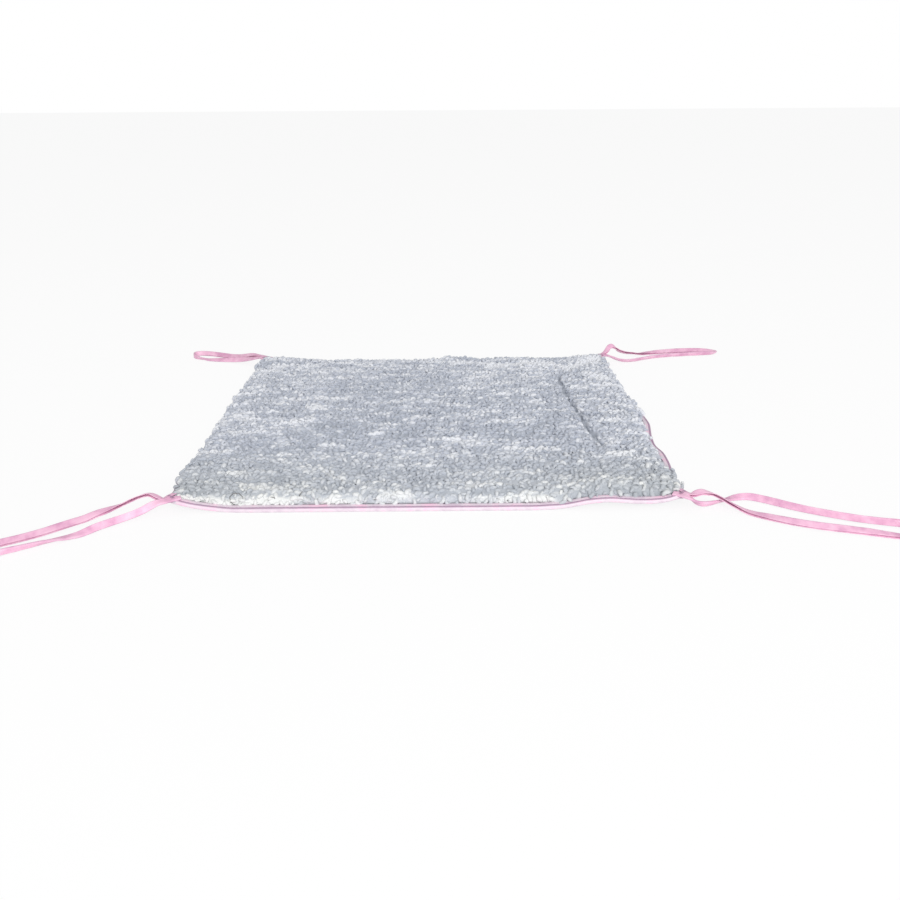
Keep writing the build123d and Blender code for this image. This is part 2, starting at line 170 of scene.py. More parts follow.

# The tape's section on the edge, round its middle ply, in millimetres: distance in from the fold, height
# over the cloth's rise, share of the stitched groove's painted shade. It runs from the lower leg's free edge,
# round the fold, to the upper leg's.
BOUND_SECTION = (
    (5.7, 0.55, 0.3), (5.3, 0.05, 0.0), (4.2, -0.12, 0.0), (3.0, -0.1, 0.0), (2.5, 0.0, 0.3),
    (2.1, 0.16, 1.0), (1.7, -0.02, 0.3), (1.1, -0.1, 0.0), (0.52, 0.2, 0.0), (0.3, 0.85, 0.0),
    (0.28, 1.6, 0.0), (0.45, 2.3, 0.0), (0.8, 2.8, 0.7), (1.35, 3.0, 1.0), (1.75, 2.86, 1.0),
    (2.1, 2.78, 1.0), (2.45, 2.9, 0.8), (2.8, 3.14, 0.1), (3.6, 3.4, 0.0), (4.5, 3.62, 0.0),
    (5.3, 3.72, 0.0), (5.8, 3.5, 0.2),
)

# A loop's folded tape: its thickness, the points round its section, the spacing of its stations, its sewn
# ends, as distance in from the corner's hinge and how far each lies beside the middle, in millimetres, and
# how far each lies above or below the hinge
LOOP_THICKNESS = 0.8 * MM
LOOP_POINTS = 15
LOOP_SPACING = 2.0 * MM
LOOP_TABS = ((9.0, 4.6), (2.5, 2.6), (-3.0, 2.2))
TAB_LIFT = 0.2 * MM

# The bar tack on each loop's root: its stitches and their size, its width, and its place and height
TACK_STITCHES = 9
TACK_LENGTH = 2.6 * MM
TACK_RADIUS = 0.24 * MM
TACK_WIDTH = 7.0 * MM
TACK_INSET = 3.2 * MM
TACK_ZIGZAG = 0.35 * MM
TACK_HEIGHT = 1.75 * MM

# The lining: faces along each side, thickness, distance from the tape's fold, and from the corners' cuts
LINING_FACES = 170
LINING_THICKNESS = 0.5 * MM
LINING_INSET = 1.3 * MM
LINING_CLIP = 1.5 * MM

# The photograph's camera, found from the pad's four corners: place; yaw, pitch and roll in degrees
CAMERA_PLACE = (0.01598, -0.82822, 0.2960)
CAMERA_TURN = (-0.174, 21.354, 0.366)
SENSOR_WIDTH = 36.0

# The floor's half size, and how much of what the camera sees of it is plain white
FLOOR_SIZE = 20.0
FLOOR_WHITE = 0.85

# The soft lamp, which points at the pad's middle
KEY_PLACE = (0.5, -2.6, 1.25)
KEY_SIZE = 1.4


def linear(code):
    """An sRGB hex colour as linear red, green and blue."""
    channels = [int(code[start : start + 2], 16) / 255 for start in (1, 3, 5)]
    return [c / 12.92 if c <= 0.04045 else ((c + 0.055) / 1.055) ** 2.4 for c in channels]


def add_node(tree, kind, settings=(), inputs=(), stops=()):
    """Adds a node with its settings, its input values and links, and a colour ramp's stops."""
    node = tree.nodes.new(kind)
    for name, value in dict(settings).items():
        setattr(node, name, value)
    for name, value in dict(inputs).items():
        if isinstance(value, bpy.types.NodeSocket):
            tree.links.new(value, node.inputs[name])
        else:
            node.inputs[name].default_value = value
    if stops:
        elements = node.color_ramp.elements
        while len(elements) < len(stops):
            elements.new(0.5)
        for element, (place, colour) in zip(elements, stops):
            element.position = place
            element.color = (*colour, 1.0)
    return node


def new_material(name):
    """A material with an empty tree."""
    material = bpy.data.materials.new(name)
    material.use_nodes = True
    material.node_tree.nodes.clear()
    return material, material.node_tree


def finish_material(tree, colour, finish, heights=None, strength=0.0, depth=0.0):
    """Completes a material with its colour, its finish and, where it has heights, a bump."""
    inputs = {"Base Color": colour, **finish}
    if heights is not None:
        bump = add_node(tree, "ShaderNodeBump", inputs={
            "Strength": strength, "Distance": depth, "Height": heights,
        })
        inputs["Normal"] = bump.outputs[0]
    shader = add_node(tree, "ShaderNodeBsdfPrincipled", inputs=inputs)
    add_node(tree, "ShaderNodeOutputMaterial", inputs={"Surface": shader.outputs[0]})


def sherpa_material(settings):
    """Polyester sherpa: brushed knit pile tumbled into curls. Matt, with pale tips and cooler, darker roots;
    its tone carries painted light up to the tip colour and painted shade down to the root colour.
    """
    material, tree = new_material("polyester_sherpa_pile")
    place = add_node(tree, "ShaderNodeTexCoord").outputs["Object"]
    shade = add_node(tree, "ShaderNodeAttribute", {"attribute_name": "tone"}).outputs["Fac"]
    # Patches of combed and matted pile about 30 mm across, then fibre clumps of about 1.5 mm
    for size, detail, weight in ((30 * MM, 3.0, 0.35), (1.5 * MM, 2.0, 0.3)):
        fibres = add_node(tree, "ShaderNodeTexNoise", inputs={
            "Vector": place, "Scale": 1 / size, "Detail": detail,
        }).outputs["Fac"]
        shade = add_node(tree, "ShaderNodeMath", {"operation": "MULTIPLY_ADD"}, {
            0: fibres, 1: weight, 2: shade,
        }).outputs[0]
    stops = [(0.3, settings.root_shade_colour), (0.75, settings.pile_colour), (1.25 / 1.3, settings.tip_colour)]
    cloth = add_node(tree, "ShaderNodeValToRGB", inputs={"Fac": shade}, stops=stops).outputs["Color"]
    # Towards the front, most of all at its corners, the pile is a little creamier
    parts = add_node(tree, "ShaderNodeSeparateXYZ", inputs={"Vector": place}).outputs
    near = add_node(tree, "ShaderNodeMapRange", inputs={
        "Value": parts["Y"], "From Min": -HALF_DEPTH + 10 * MM, "From Max": -HALF_DEPTH + 110 * MM,
        "To Min": 1.0, "To Max": 0.0,
    })
    away = add_node(tree, "ShaderNodeMath", {"operation": "ABSOLUTE"}, {0: parts["X"]})
    aside = add_node(tree, "ShaderNodeMath", {"operation": "MULTIPLY_ADD"}, {
        0: away.outputs[0], 1: 0.5 / HALF_WIDTH, 2: 0.5,
    })
    cream = add_node(tree, "ShaderNodeMath", {"operation": "MULTIPLY"}, {
        0: near.outputs[0], 1: aside.outputs[0],
    })
    colour = add_node(tree, "ShaderNodeMix", {"data_type": "RGBA", "blend_type": "MULTIPLY"}, {
        "Factor": cream.outputs[0], 6: cloth, 7: (*settings.cream_tint, 1.0),
    })
    finish = {"Roughness": 0.95, "Specular IOR Level": 0.2, "Sheen Weight": 0.25, "Sheen Roughness": 0.6}
    finish_material(tree, colour.outputs[2], finish, fibres, 0.6, 0.35 * MM)
    return material


def hair_material(colour):
    """Short animal hair: smooth, dark and slightly glossy, paler towards its tip."""
    material, tree = new_material("animal_hair")
    place = add_node(tree, "ShaderNodeTexCoord").outputs["Object"]
    # The tone changes along a hair over about 4 mm
    fade = add_node(tree, "ShaderNodeTexNoise", inputs={
        "Vector": place, "Scale": 1 / (4 * MM), "Detail": 1.0,
    })
    stops = [(0.35, colour), (0.75, [2.2 * c for c in colour])]
    tint = add_node(tree, "ShaderNodeValToRGB", inputs={"Fac": fade.outputs["Fac"]}, stops=stops)
    finish_material(tree, tint.outputs["Color"], {"Roughness": 0.35, "Specular IOR Level": 0.5})
    return material


def satin_material(name, colours, groove_shade_colour):
    """Polyester satin bias tape: long floats lie along the cloth's bias and give a soft, one-way sheen."""
    material, tree = new_material(name)
    along = add_node(tree, "ShaderNodeUVMap", {"uv_map": "tape"}).outputs["UV"]
    place = add_node(tree, "ShaderNodeTexCoord").outputs["Object"]
    # The groove attribute mixes in the groove shade colour: painted shade in the stitched groove and along
    # the loops' fold
    groove = add_node(tree, "ShaderNodeAttribute", {"attribute_name": "groove"}).outputs["Fac"]
    # The bias weave runs at 45 degrees to the tape; its threads, 0.2 mm apart, are drawn 0.6 mm apart to show
    bias = (0, 0, math.radians(45))
    turned = add_node(tree, "ShaderNodeMapping", inputs={"Vector": along, "Rotation": bias})
    weave = add_node(tree, "ShaderNodeTexWave", inputs={
        "Vector": turned.outputs[0], "Scale": 1 / (0.6 * MM) / math.tau, "Distortion": 0.6, "Detail": 1.0,
    })
    # Shade shifts where the tape was pressed and handled, 10 mm across
    press = add_node(tree, "ShaderNodeTexNoise", inputs={
        "Vector": place, "Scale": 1 / (10 * MM), "Detail": 3.0,
    }).outputs["Fac"]
    stops = list(zip((0.3, 0.5, 0.7), colours))
    cloth = add_node(tree, "ShaderNodeValToRGB", inputs={"Fac": press}, stops=stops).outputs["Color"]
    colour = add_node(tree, "ShaderNodeMix", {"data_type": "RGBA"}, {
        "Factor": groove, 6: cloth, 7: (*groove_shade_colour, 1.0),
    })
    heights = add_node(tree, "ShaderNodeMath", {"operation": "MULTIPLY_ADD"}, {
        0: weave.outputs["Fac"], 1: 0.25, 2: press,
    })
    finish = {
        "Roughness": 0.42, "Specular IOR Level": 0.45, "Anisotropic": 0.4,
        "Sheen Weight": 0.08, "Sheen Roughness": 0.35,
    }
    finish_material(tree, colour.outputs[2], finish, heights.outputs[0], 0.35, 0.4 * MM)
    return material


def thread_material(colour):
    """Spun polyester sewing thread: two plies twisted together, slightly glossy."""
    material, tree = new_material("polyester_sewing_thread")
    place = add_node(tree, "ShaderNodeTexCoord").outputs["Object"]
    # The plies show as twists about 0.5 mm long
    plies = add_node(tree, "ShaderNodeTexNoise", inputs={
        "Vector": place, "Scale": 1 / (0.5 * MM), "Detail": 1.0,
    }).outputs["Fac"]
    stops = [(0.3, [0.8 * c for c in colour]), (0.7, colour)]
    tint = add_node(tree, "ShaderNodeValToRGB", inputs={"Fac": plies}, stops=stops)
    finish = {"Roughness": 0.5, "Specular IOR Level": 0.4}
    finish_material(tree, tint.outputs["Color"], finish, plies, 0.5, 0.1 * MM)
    return material


def knit_material(colours):
    """Plain jersey lining, matt and a little pilled."""
    material, tree = new_material("plain_knit_lining")
    place = add_node(tree, "ShaderNodeTexCoord").outputs["Object"]
    # Its knitted loops are 1.2 mm high and 1.6 mm wide, and its pills lie about 6 mm apart
    rows, stitches = (
        add_node(tree, "ShaderNodeTexWave", {"bands_direction": way}, {
            "Vector": place, "Scale": 1 / size / math.tau, "Distortion": distortion, "Detail": 2.0,
        }).outputs["Fac"]
        for way, size, distortion in (("Y", 1.2 * MM, 1.2), ("X", 1.6 * MM, 1.5))
    )
    pills = add_node(tree, "ShaderNodeTexNoise", inputs={
        "Vector": place, "Scale": 1 / (6 * MM), "Detail": 4.0,
    })
    loops = add_node(tree, "ShaderNodeMath", {"operation": "MULTIPLY"}, {0: rows, 1: stitches})
    heights = add_node(tree, "ShaderNodeMath", {"operation": "MULTIPLY_ADD"}, {
        0: pills.outputs["Fac"], 1: 0.8, 2: loops.outputs[0],
    }).outputs[0]
    stops = list(zip((0.25, 0.75), colours))
    colour = add_node(tree, "ShaderNodeValToRGB", inputs={"Fac": heights}, stops=stops)
    finish = {"Roughness": 0.9, "Specular IOR Level": 0.25, "Sheen Weight": 0.15}
    finish_material(tree, colour.outputs["Color"], finish, heights, 0.6, 0.3 * MM)
    return material


def batting_material(colours):
    """Polyester batting: a white felted web of crimped fibre, seen only where the pad is opened."""
    material, tree = new_material("polyester_batting")
    place = add_node(tree, "ShaderNodeTexCoord").outputs["Object"]
    # The web's clumps are about 3 mm across
    web = add_node(tree, "ShaderNodeTexNoise", inputs={
        "Vector": place, "Scale": 1 / (3 * MM), "Detail": 6.0,
    }).outputs["Fac"]
    stops = list(zip((0.3, 0.7), colours))
    colour = add_node(tree, "ShaderNodeValToRGB", inputs={"Fac": web}, stops=stops)
    finish = {"Roughness": 1.0, "Specular IOR Level": 0.2}
    finish_material(tree, colour.outputs["Color"], finish, web, 0.8, 0.8 * MM)
    return material


def floor_material():
    """The plain ground: white to the camera and in reflections, and keeping the pad's shadow."""
    material, tree = new_material("white_ground")
    rays = add_node(tree, "ShaderNodeLightPath").outputs
    seen = rays["Is Camera Ray"]
    for ray in (rays["Is Glossy Ray"], rays["Is Transmission Ray"]):
        seen = add_node(tree, "ShaderNodeMath", {"operation": "MAXIMUM"}, {0: seen, 1: ray}).outputs[0]
    share = add_node(tree, "ShaderNodeMath", {"operation": "MULTIPLY"}, {0: seen, 1: FLOOR_WHITE})
    ground = add_node(tree, "ShaderNodeBsdfDiffuse", inputs={"Color": (*linear("#fcfcfc"), 1.0)})
    white = add_node(tree, "ShaderNodeEmission", inputs={"Color": (1, 1, 1, 1), "Strength": 1.0})
    shown = add_node(tree, "ShaderNodeMixShader", inputs={
        0: share.outputs[0], 1: ground.outputs[0], 2: white.outputs[0],
    })
    add_node(tree, "ShaderNodeOutputMaterial", inputs={"Surface": shown.outputs[0]})
    return material


def mesh_from(bm, name):
    mesh = bpy.data.meshes.new(name)
    bm.to_mesh(mesh)
    bm.free()
    return mesh


def object_from(name, mesh, material):
    """A piece from a mesh, smooth shaded, with its material."""
    piece = bpy.data.objects.new(name, mesh)
    bpy.context.collection.objects.link(piece)
    mesh.materials.clear()
    mesh.materials.append(material)
    mesh.shade_smooth()
    return piece


def baked(piece):
    """Applies all modifiers of a piece to its mesh."""
    graph = bpy.context.evaluated_depsgraph_get()
    mesh = bpy.data.meshes.new_from_object(piece.evaluated_get(graph))
    old = piece.data
    piece.modifiers.clear()
    piece.data = mesh
    mesh.name = old.name
    bpy.data.meshes.remove(old)


def subdivide(piece, levels):
    """Rounds a piece, to be baked."""
    smooth = piece.modifiers.new("smooth", "SUBSURF")
    smooth.levels = smooth.render_levels = levels


def remesh_evenly(piece, voxel):
    remesh = piece.modifiers.new("even_mesh", "REMESH")
    remesh.mode = "VOXEL"
    remesh.voxel_size = voxel
    baked(piece)


def cloth_from(name, bm, thickness, levels, material):
    """A piece of cloth from a single sheet, which is given its thickness and rounded."""
    piece = object_from(name, mesh_from(bm, name), material)
    solid = piece.modifiers.new("thickness", "SOLIDIFY")
    solid.thickness = thickness
    solid.offset = 0.0
    solid.use_rim = True
    if levels:
        subdivide(piece, levels)
    baked(piece)
    piece.data.shade_smooth()
    return piece


def merged_copy(node):
    """A closed copy of a frame node's mesh, with its loose triangles joined."""
    bm = bmesh.new()
    bm.from_mesh(frame["nodes"][node].data)
    bmesh.ops.remove_doubles(bm, verts=bm.verts, dist=0.01 * MM)
    return bm


def tree_of(node):
    bm = merged_copy(node)
    tree = BVHTree.FromBMesh(bm)
    bm.free()
    return tree


def vertex_rows(mesh, name):
    """The place or the normal of each vertex, as a row of three numbers."""
    values = np.empty(len(mesh.vertices) * 3, dtype=np.float32)
    mesh.vertices.foreach_get(name, values)
    return values.reshape(-1, 3).astype(float)


def set_places(mesh, places):
    mesh.vertices.foreach_set("co", np.asarray(places, dtype=np.float32).ravel())
    mesh.update()


def set_attribute(mesh, name, values):
    layer = mesh.attributes.new(name, "FLOAT", "POINT")
    layer.data.foreach_set("value", np.asarray(values, dtype=np.float32))


def template_from(bm):
    """A small form that is repeated, as its places and its triangles."""
    bmesh.ops.triangulate(bm, faces=bm.faces)
    mesh = mesh_from(bm, "template")
    places = vertex_rows(mesh, "co")
    # The triangles come in an order that varies, so each starts at its lowest corner and they are sorted
    faces = [face.vertices[:] for face in mesh.polygons]
    starts = [face.index(min(face)) for face in faces]
    faces = np.array(sorted(face[start:] + face[:start] for face, start in zip(faces, starts)))
    bpy.data.meshes.remove(mesh)
    return places, faces


def repeated(template, centres, turns, tones, name, scatter=0.0, rng=None):
    """One mesh of many copies of a template, each turned and placed, with a tone of its own."""
    places, faces = template
    count, size = len(centres), len(places)
    points = np.einsum("nij,mj->nmi", turns, places) + centres[:, None, :]
    if scatter:
        points += rng.normal(0, scatter, points.shape)
    indices = faces[None, :, :] + (np.arange(count) * size)[:, None, None]
    mesh = bpy.data.meshes.new(name)
    mesh.from_pydata(points.reshape(-1, 3), [], indices.reshape(-1, faces.shape[1]).tolist())
    set_attribute(mesh, "tone", np.repeat(tones, size))
    return mesh


def joined_mesh(meshes, name):
    """Several meshes as one."""
    bm = bmesh.new()
    for mesh in meshes:
        bm.from_mesh(mesh)
        bpy.data.meshes.remove(mesh)
    return mesh_from(bm, name)


def fill_with_cloth(piece, voxel, pressure, most, frames=20):
    """Remeshes a pad evenly and lets cloth under pressure round it, moving no point further than asked."""
    remesh_evenly(piece, voxel)
    before = vertex_rows(piece.data, "co")
    cloth = piece.modifiers.new("fill", "CLOTH")
    cloth.settings.use_pressure = True
    cloth.settings.uniform_pressure_force = pressure
    cloth.settings.effector_weights.gravity = 0.0
    scene = bpy.context.scene
    for number in range(1, frames + 1):
        scene.frame_set(number)
    graph = bpy.context.evaluated_depsgraph_get()
    moved = vertex_rows(piece.evaluated_get(graph).data, "co")
    piece.modifiers.clear()
    scene.frame_set(1)
    step = moved - before
    length = np.linalg.norm(step, axis=1, keepdims=True)
    set_places(piece.data, before + step * np.minimum(1.0, most / np.maximum(length, 1e-9)))


def wave_noise(places, size):
    """Smooth noise from -1 to 1 at each place, with its own size along X, Y and Z."""
    return np.array([noise.noise(Vector((x / size[0], y / size[1], z / size[2]))) for x, y, z in places])


def share_past(values, start, length):
    """0 up to a start, and from there on evenly to 1 over a length."""
    return ((values - start) / length).clip(0, 1)


def pile_height(places):
    """How the pile stands in tufts: broad rows across the pad, and tufts about 7 mm wide in them."""
    return 0.8 * wave_noise(places, ROW_SIZE) + 0.8 * wave_noise(places + 0.5, TUFT_SIZE)


def near_line(places, line):
    """How far each place lies from a line on the pad, and which way the line runs there."""
    nearest = np.full(len(places), np.inf)
    ways = np.zeros((len(places), 2))
    points = [np.array(point) * MM for point in line]
    for start, end in zip(points, points[1:]):
        run = end - start
        along = ((places[:, :2] - start) @ run / (run @ run)).clip(0, 1)
        away = np.linalg.norm(places[:, :2] - start - along[:, None] * run, axis=1)
        closer = away < nearest
        nearest = np.where(closer, away, nearest)
        ways[closer] = run / np.linalg.norm(run)
    return nearest, ways


def crease_depth(places):
    """How deep the fold lines are pressed into the pile at each place, from 0 to 1."""
    depths = [
        strength * np.exp(-((near_line(places, line)[0] / CREASE_WIDTH) ** 2)) for line, strength in CREASES
    ]
    return np.max(depths, axis=0)


def pile_tone(places, directions, raised):
    """How much paler the pile is where it stands up, where it was brushed, and towards the front and rear;
    lower places stay darker as painted shade, and the front face and the pale bands carry painted light.
    """
    x, y = places[:, 0], places[:, 1]
    brushed = wave_noise(places + 3.0, STREAK_SIZE)
    forward = share_past(-y, 60 * MM, 60 * MM)
    streaks = (0.54 - 0.19 * forward) * (brushed - 0.15).clip(0, 1)
    # The front face is combed down flat and shows its fibres lengthwise; it faces the lamp and is painted all
    # but white, partly for its fibres and partly as painted light. Towards the right corner it is painted
    # darker instead, as painted shade.
    ragged = 0.5 * wave_noise(places - 7.0, RAGGED_SIZE)
    right = 1.5 * share_past(x, 55 * MM, 60 * MM)
    left = share_past(-x, 70 * MM, 60 * MM)
    front = ((-directions[:, 1] - 0.3) / 0.45 + ragged).clip(0, 1) * (0.1 * (1 - right) + 0.14 * left)
    front = np.where(y < -HALF_DEPTH + 12 * MM, front, 0.0)
    # It grows paler towards the rear, and at the sides towards the front
    back = share_past(y, -HALF_DEPTH, 2 * HALF_DEPTH)
    aside = (x / HALF_WIDTH) ** 2
    sides = 0.2 * aside * (1 - 0.7 * forward) * (1 - back)
    rear = 0.17 * back**1.5
    # The pale bands are painted light on ridges that face the lamp, over the pile's pale side
    for line, width, strength in PALE_BANDS:
        away = near_line(places, line)[0]
        rear = rear + strength * ((width * MM - away) / (3 * MM) + ragged).clip(0, 1)
    # Low places stay darker as painted shade; the front face and the bands add painted light
    whole = 0.1 * raised + 0.06 * brushed + streaks * (1 - front) + front + rear + sides
    return whole + 0.1 * forward * (1 - 0.8 * aside) - 0.03


def curl_template(ring, strand, arc, rise, steps=6, sides=6):
    """One curl of pile: a strand bent round a ring, thin at both ends, with the middle of its arc on +X."""
    bm = bmesh.new()
    place = Matrix.Translation((ring, 0, 0)) @ Matrix.Rotation(math.pi / 2, 4, "X")
    bmesh.ops.create_circle(bm, segments=sides, radius=strand, matrix=place)
    bmesh.ops.spin(
        bm, geom=bm.verts[:] + bm.edges[:], axis=(0, 0, 1), cent=(0, 0, 0), dvec=(0, 0, rise / steps),
        angle=arc, steps=steps, use_merge=False,
    )
    bmesh.ops.holes_fill(bm, edges=[edge for edge in bm.edges if edge.is_boundary], sides=sides)
    bmesh.ops.recalc_face_normals(bm, faces=bm.faces)
    for vertex in bm.verts:
        turned = math.atan2(vertex.co.y, vertex.co.x) % math.tau
        # A point of the first ring can come out as a full turn
        if turned > arc + 0.3:
            turned = 0.0
        share = turned / arc
        middle = Vector((ring * math.cos(turned), ring * math.sin(turned), rise * share))
        taper = 0.45 + 0.55 * math.sin(math.pi * min(1.0, max(0.0, share))) ** 0.6
        vertex.co = middle + (vertex.co - middle) * taper
    bmesh.ops.translate(bm, verts=bm.verts, vec=(0, 0, -rise / 2))
    bmesh.ops.rotate(bm, verts=bm.verts, cent=(0, 0, 0), matrix=Matrix.Rotation(-arc / 2, 3, "Z"))
    return template_from(bm)


def stitch_template(length, radius):
    """One stitch: a short length of thread, plump in the middle and dipping into the cloth at both ends."""
    bm = bmesh.new()
    bmesh.ops.create_uvsphere(bm, u_segments=8, v_segments=6, radius=1.0)
    turn = Matrix.Rotation(math.pi / 2, 4, "Y")
    bmesh.ops.transform(bm, verts=bm.verts, matrix=Matrix.Diagonal((length / 2, radius, radius, 1.0)) @ turn)
    return template_from(bm)


def scattered(mesh, spacing, rng, least_up):
    """Even places on a mesh's upper and side faces, at least a spacing apart, with their normals."""
    mesh.calc_loop_triangles()
    corners = np.empty(len(mesh.loop_triangles) * 3, dtype=np.int32)
    mesh.loop_triangles.foreach_get("vertices", corners)
    corners = corners.reshape(-1, 3)
    points, directions = vertex_rows(mesh, "co"), vertex_rows(mesh, "normal")
    first, second, third = (points[corners[:, k]] for k in range(3))
    sides = np.cross(second - first, third - first)
    areas = np.linalg.norm(sides, axis=1) / 2
    up = sides[:, 2] / np.maximum(2 * areas, 1e-12)
    areas = np.where(up > least_up, areas, 0.0)
    # Four tries for each place that would fit
    tries = int(4 * areas.sum() / spacing**2)
    chosen = rng.choice(len(corners), size=tries, p=areas / areas.sum())
    first, second = rng.random((2, tries, 1))
    over = (first + second) > 1
    first, second = np.where(over, 1 - first, first), np.where(over, 1 - second, second)
    shares = (1 - first - second, first, second)
    places = sum(share * points[corners[chosen, k]] for k, share in enumerate(shares))
    facing = sum(share * directions[corners[chosen, k]] for k, share in enumerate(shares))
    facing /= np.linalg.norm(facing, axis=1, keepdims=True)
    cells, kept = {}, []
    for index, place in enumerate(places):
        cell = tuple(np.floor(place / spacing).astype(int))
        near = [
            other
            for dx in (-1, 0, 1) for dy in (-1, 0, 1) for dz in (-1, 0, 1)
            for other in cells.get((cell[0] + dx, cell[1] + dy, cell[2] + dz), ())
        ]
        if all(((places[other] - place) ** 2).sum() > spacing**2 for other in near):
            cells.setdefault(cell, []).append(index)
            kept.append(index)
    return places[kept], facing[kept]


def turns_to(tops, axes):
    """A turn for each curl, with the middle of its arc on top and its ring's axis near the one asked."""
    tops = tops / np.linalg.norm(tops, axis=1, keepdims=True)
    second = np.cross(axes, tops)
    second /= np.linalg.norm(second, axis=1, keepdims=True)
    return np.stack([tops, second, np.cross(tops, second)], axis=2)


def over_tapes(places, rims):
    """For each place, how far it lies in from the nearest bound edge, and the tape's top there."""
    inset = np.full(len(places), np.inf)
    top = np.zeros(len(places))
    for side, (along, reach, rise) in rims.items():
        direction, outward = (np.array(way[:]) for way in EDGES[side])
        place = places @ np.abs(direction)
        here = np.interp(place, along, reach) - places @ outward
        nearer = here < inset
        inset = np.where(nearer, here, inset)
        top = np.where(nearer, np.interp(place, along, rise) + TAPE_TOP, top)
    return inset, top


def spread_out(places, rims, most):
    """Lets the pile swell out over the side tapes, where it stands above them."""
    moved = places.copy()
    y = places[:, 1]
    ragged = 0.85 + 0.3 * wave_noise(places, SWELL_SIZE)
    for side, sign in (("left", -1), ("right", 1)):
        along, reach, rise = rims[side]
        inset = np.interp(y, along, reach) - places[:, 0] * sign
        above = (places[:, 2] - np.interp(y, along, rise) - TAPE_TOP) / MM
        # The swell fades out before the corners, and within 10 mm of each gap
        share = ragged * share_past(-np.abs(y), -190 * MM, 12 * MM)
        for gap_side, start, end, left in SPREAD_GAPS:
            if gap_side == sign:
                away = share_past(np.maximum(start * MM - y, y - end * MM), 0, 10 * MM)
                share = share * (left + (1 - left) * away)
        near = share_past(-inset, -20 * MM, 13 * MM)
        moved[:, 0] += sign * most * above.clip(0, 1) * near * share
    return moved


def in_gaps(places):
    """Which places lie along the stretches of tape that the pile leaves bare."""
    bare = np.zeros(len(places), dtype=bool)
    for side, start, end, _ in SPREAD_GAPS:
        bare |= (places[:, 0] * side > 0) & (places[:, 1] > start * MM) & (places[:, 1] < end * MM)
    return bare


def edge_reach(tree, along, outward):
    """How far out the frame's tape reaches at a place along an edge, found by rays from outside."""
    reaches = []
    for height in np.arange(RAY_STEP, RAY_TOP, RAY_STEP):
        start = along + outward * (HALF_WIDTH + RAY_START) + UP * float(height)
        hit, _, _, _ = tree.ray_cast(start, -outward)
        if hit is not None:
            reaches.append(hit.dot(outward))
    return max(reaches, default=None)


def smoothed(values, times):
    """A row of numbers, each drawn towards its neighbours, with its ends kept."""
    values = np.array(values)
    for _ in range(times):
        values[1:-1] = 0.25 * values[:-2] + 0.5 * values[1:-1] + 0.25 * values[2:]
    return values


def edge_line(side, spacing):
    """Stations along a bound edge: places along it, how far out its fold lies, and the cloth's two rises."""
    direction, outward = EDGES[side]
    tree = tree_of(f"binding_{side}")
    end = HALF_WIDTH - CORNER_CUT / 2
    steps = np.linspace(-end, end, int(2 * end / spacing) + 1)
    # The frame is measured at every eighth station, and the rest lie smoothly between
    coarse = steps[::8] if steps[::8][-1] == steps[-1] else np.append(steps[::8], steps[-1])
    reaches, outer, inner = [], [], []
    for step in coarse:
        along = direction * float(step)
        reach = edge_reach(tree, along, outward)
        if reach is None:
            raise RuntimeError(f"binding_{side}: no edge found at {step:.3f} m")
        reaches.append(reach)
        for inset, row in zip(RISE_INSETS, (outer, inner)):
            start = along + outward * (reach - inset) + UP * RISE_START
            hit, _, _, _ = tree.ray_cast(start, DOWN)
            surface = TAPE_EDGE + TAPE_SLOPE * (inset - TAPE_ROUND)
            row.append(None if hit is None else hit.z - surface)
    for row in (outer, inner):
        known = [k for k, value in enumerate(row) if value is not None]
        for k, value in enumerate(row):
            if value is None:
                row[k] = row[min(known, key=lambda other: abs(other - k))]
    rows = [smoothed(np.interp(steps, coarse, smoothed(row, 1)), 12) for row in (reaches, outer, inner)]
    return steps, *rows


def rim_of(side):
    """A bound edge in order along +X or +Y: places, how far out its fold lies, and the cloth's inner rise."""
    direction, _ = EDGES[side]
    steps, reach, _, rise = edge_line(side, EDGE_SPACING)
    along = steps * (direction.x + direction.y)
    order = np.argsort(along)
    return along[order], reach[order], rise[order]


def tape_sheet(along, across, place_at):
    """A sheet of tape, mapped by its lengths, with a place and a share of painted groove shade for each
    column and row.
    """
    bm = bmesh.new()
    bmesh.ops.create_grid(bm, x_segments=len(along) - 1, y_segments=len(across) - 1, size=0.5)
    # The groove layer darkens the tape towards the thread's mauve, as painted shade
    groove = bm.verts.layers.float.new("groove")
    tape_map = bm.loops.layers.uv.new("tape")
    cells = {}
    for vertex in bm.verts:
        column = round((vertex.co.x + 0.5) * (len(along) - 1))
        row = round((vertex.co.y + 0.5) * (len(across) - 1))
        cells[vertex] = column, row
        vertex.co, vertex[groove] = place_at(column, row)
    for face in bm.faces:
        for loop in face.loops:
            column, row = cells[loop.vert]
            loop[tape_map].uv = (float(along[column]), float(across[row]))
    bmesh.ops.recalc_face_normals(bm, faces=bm.faces)
    return bm


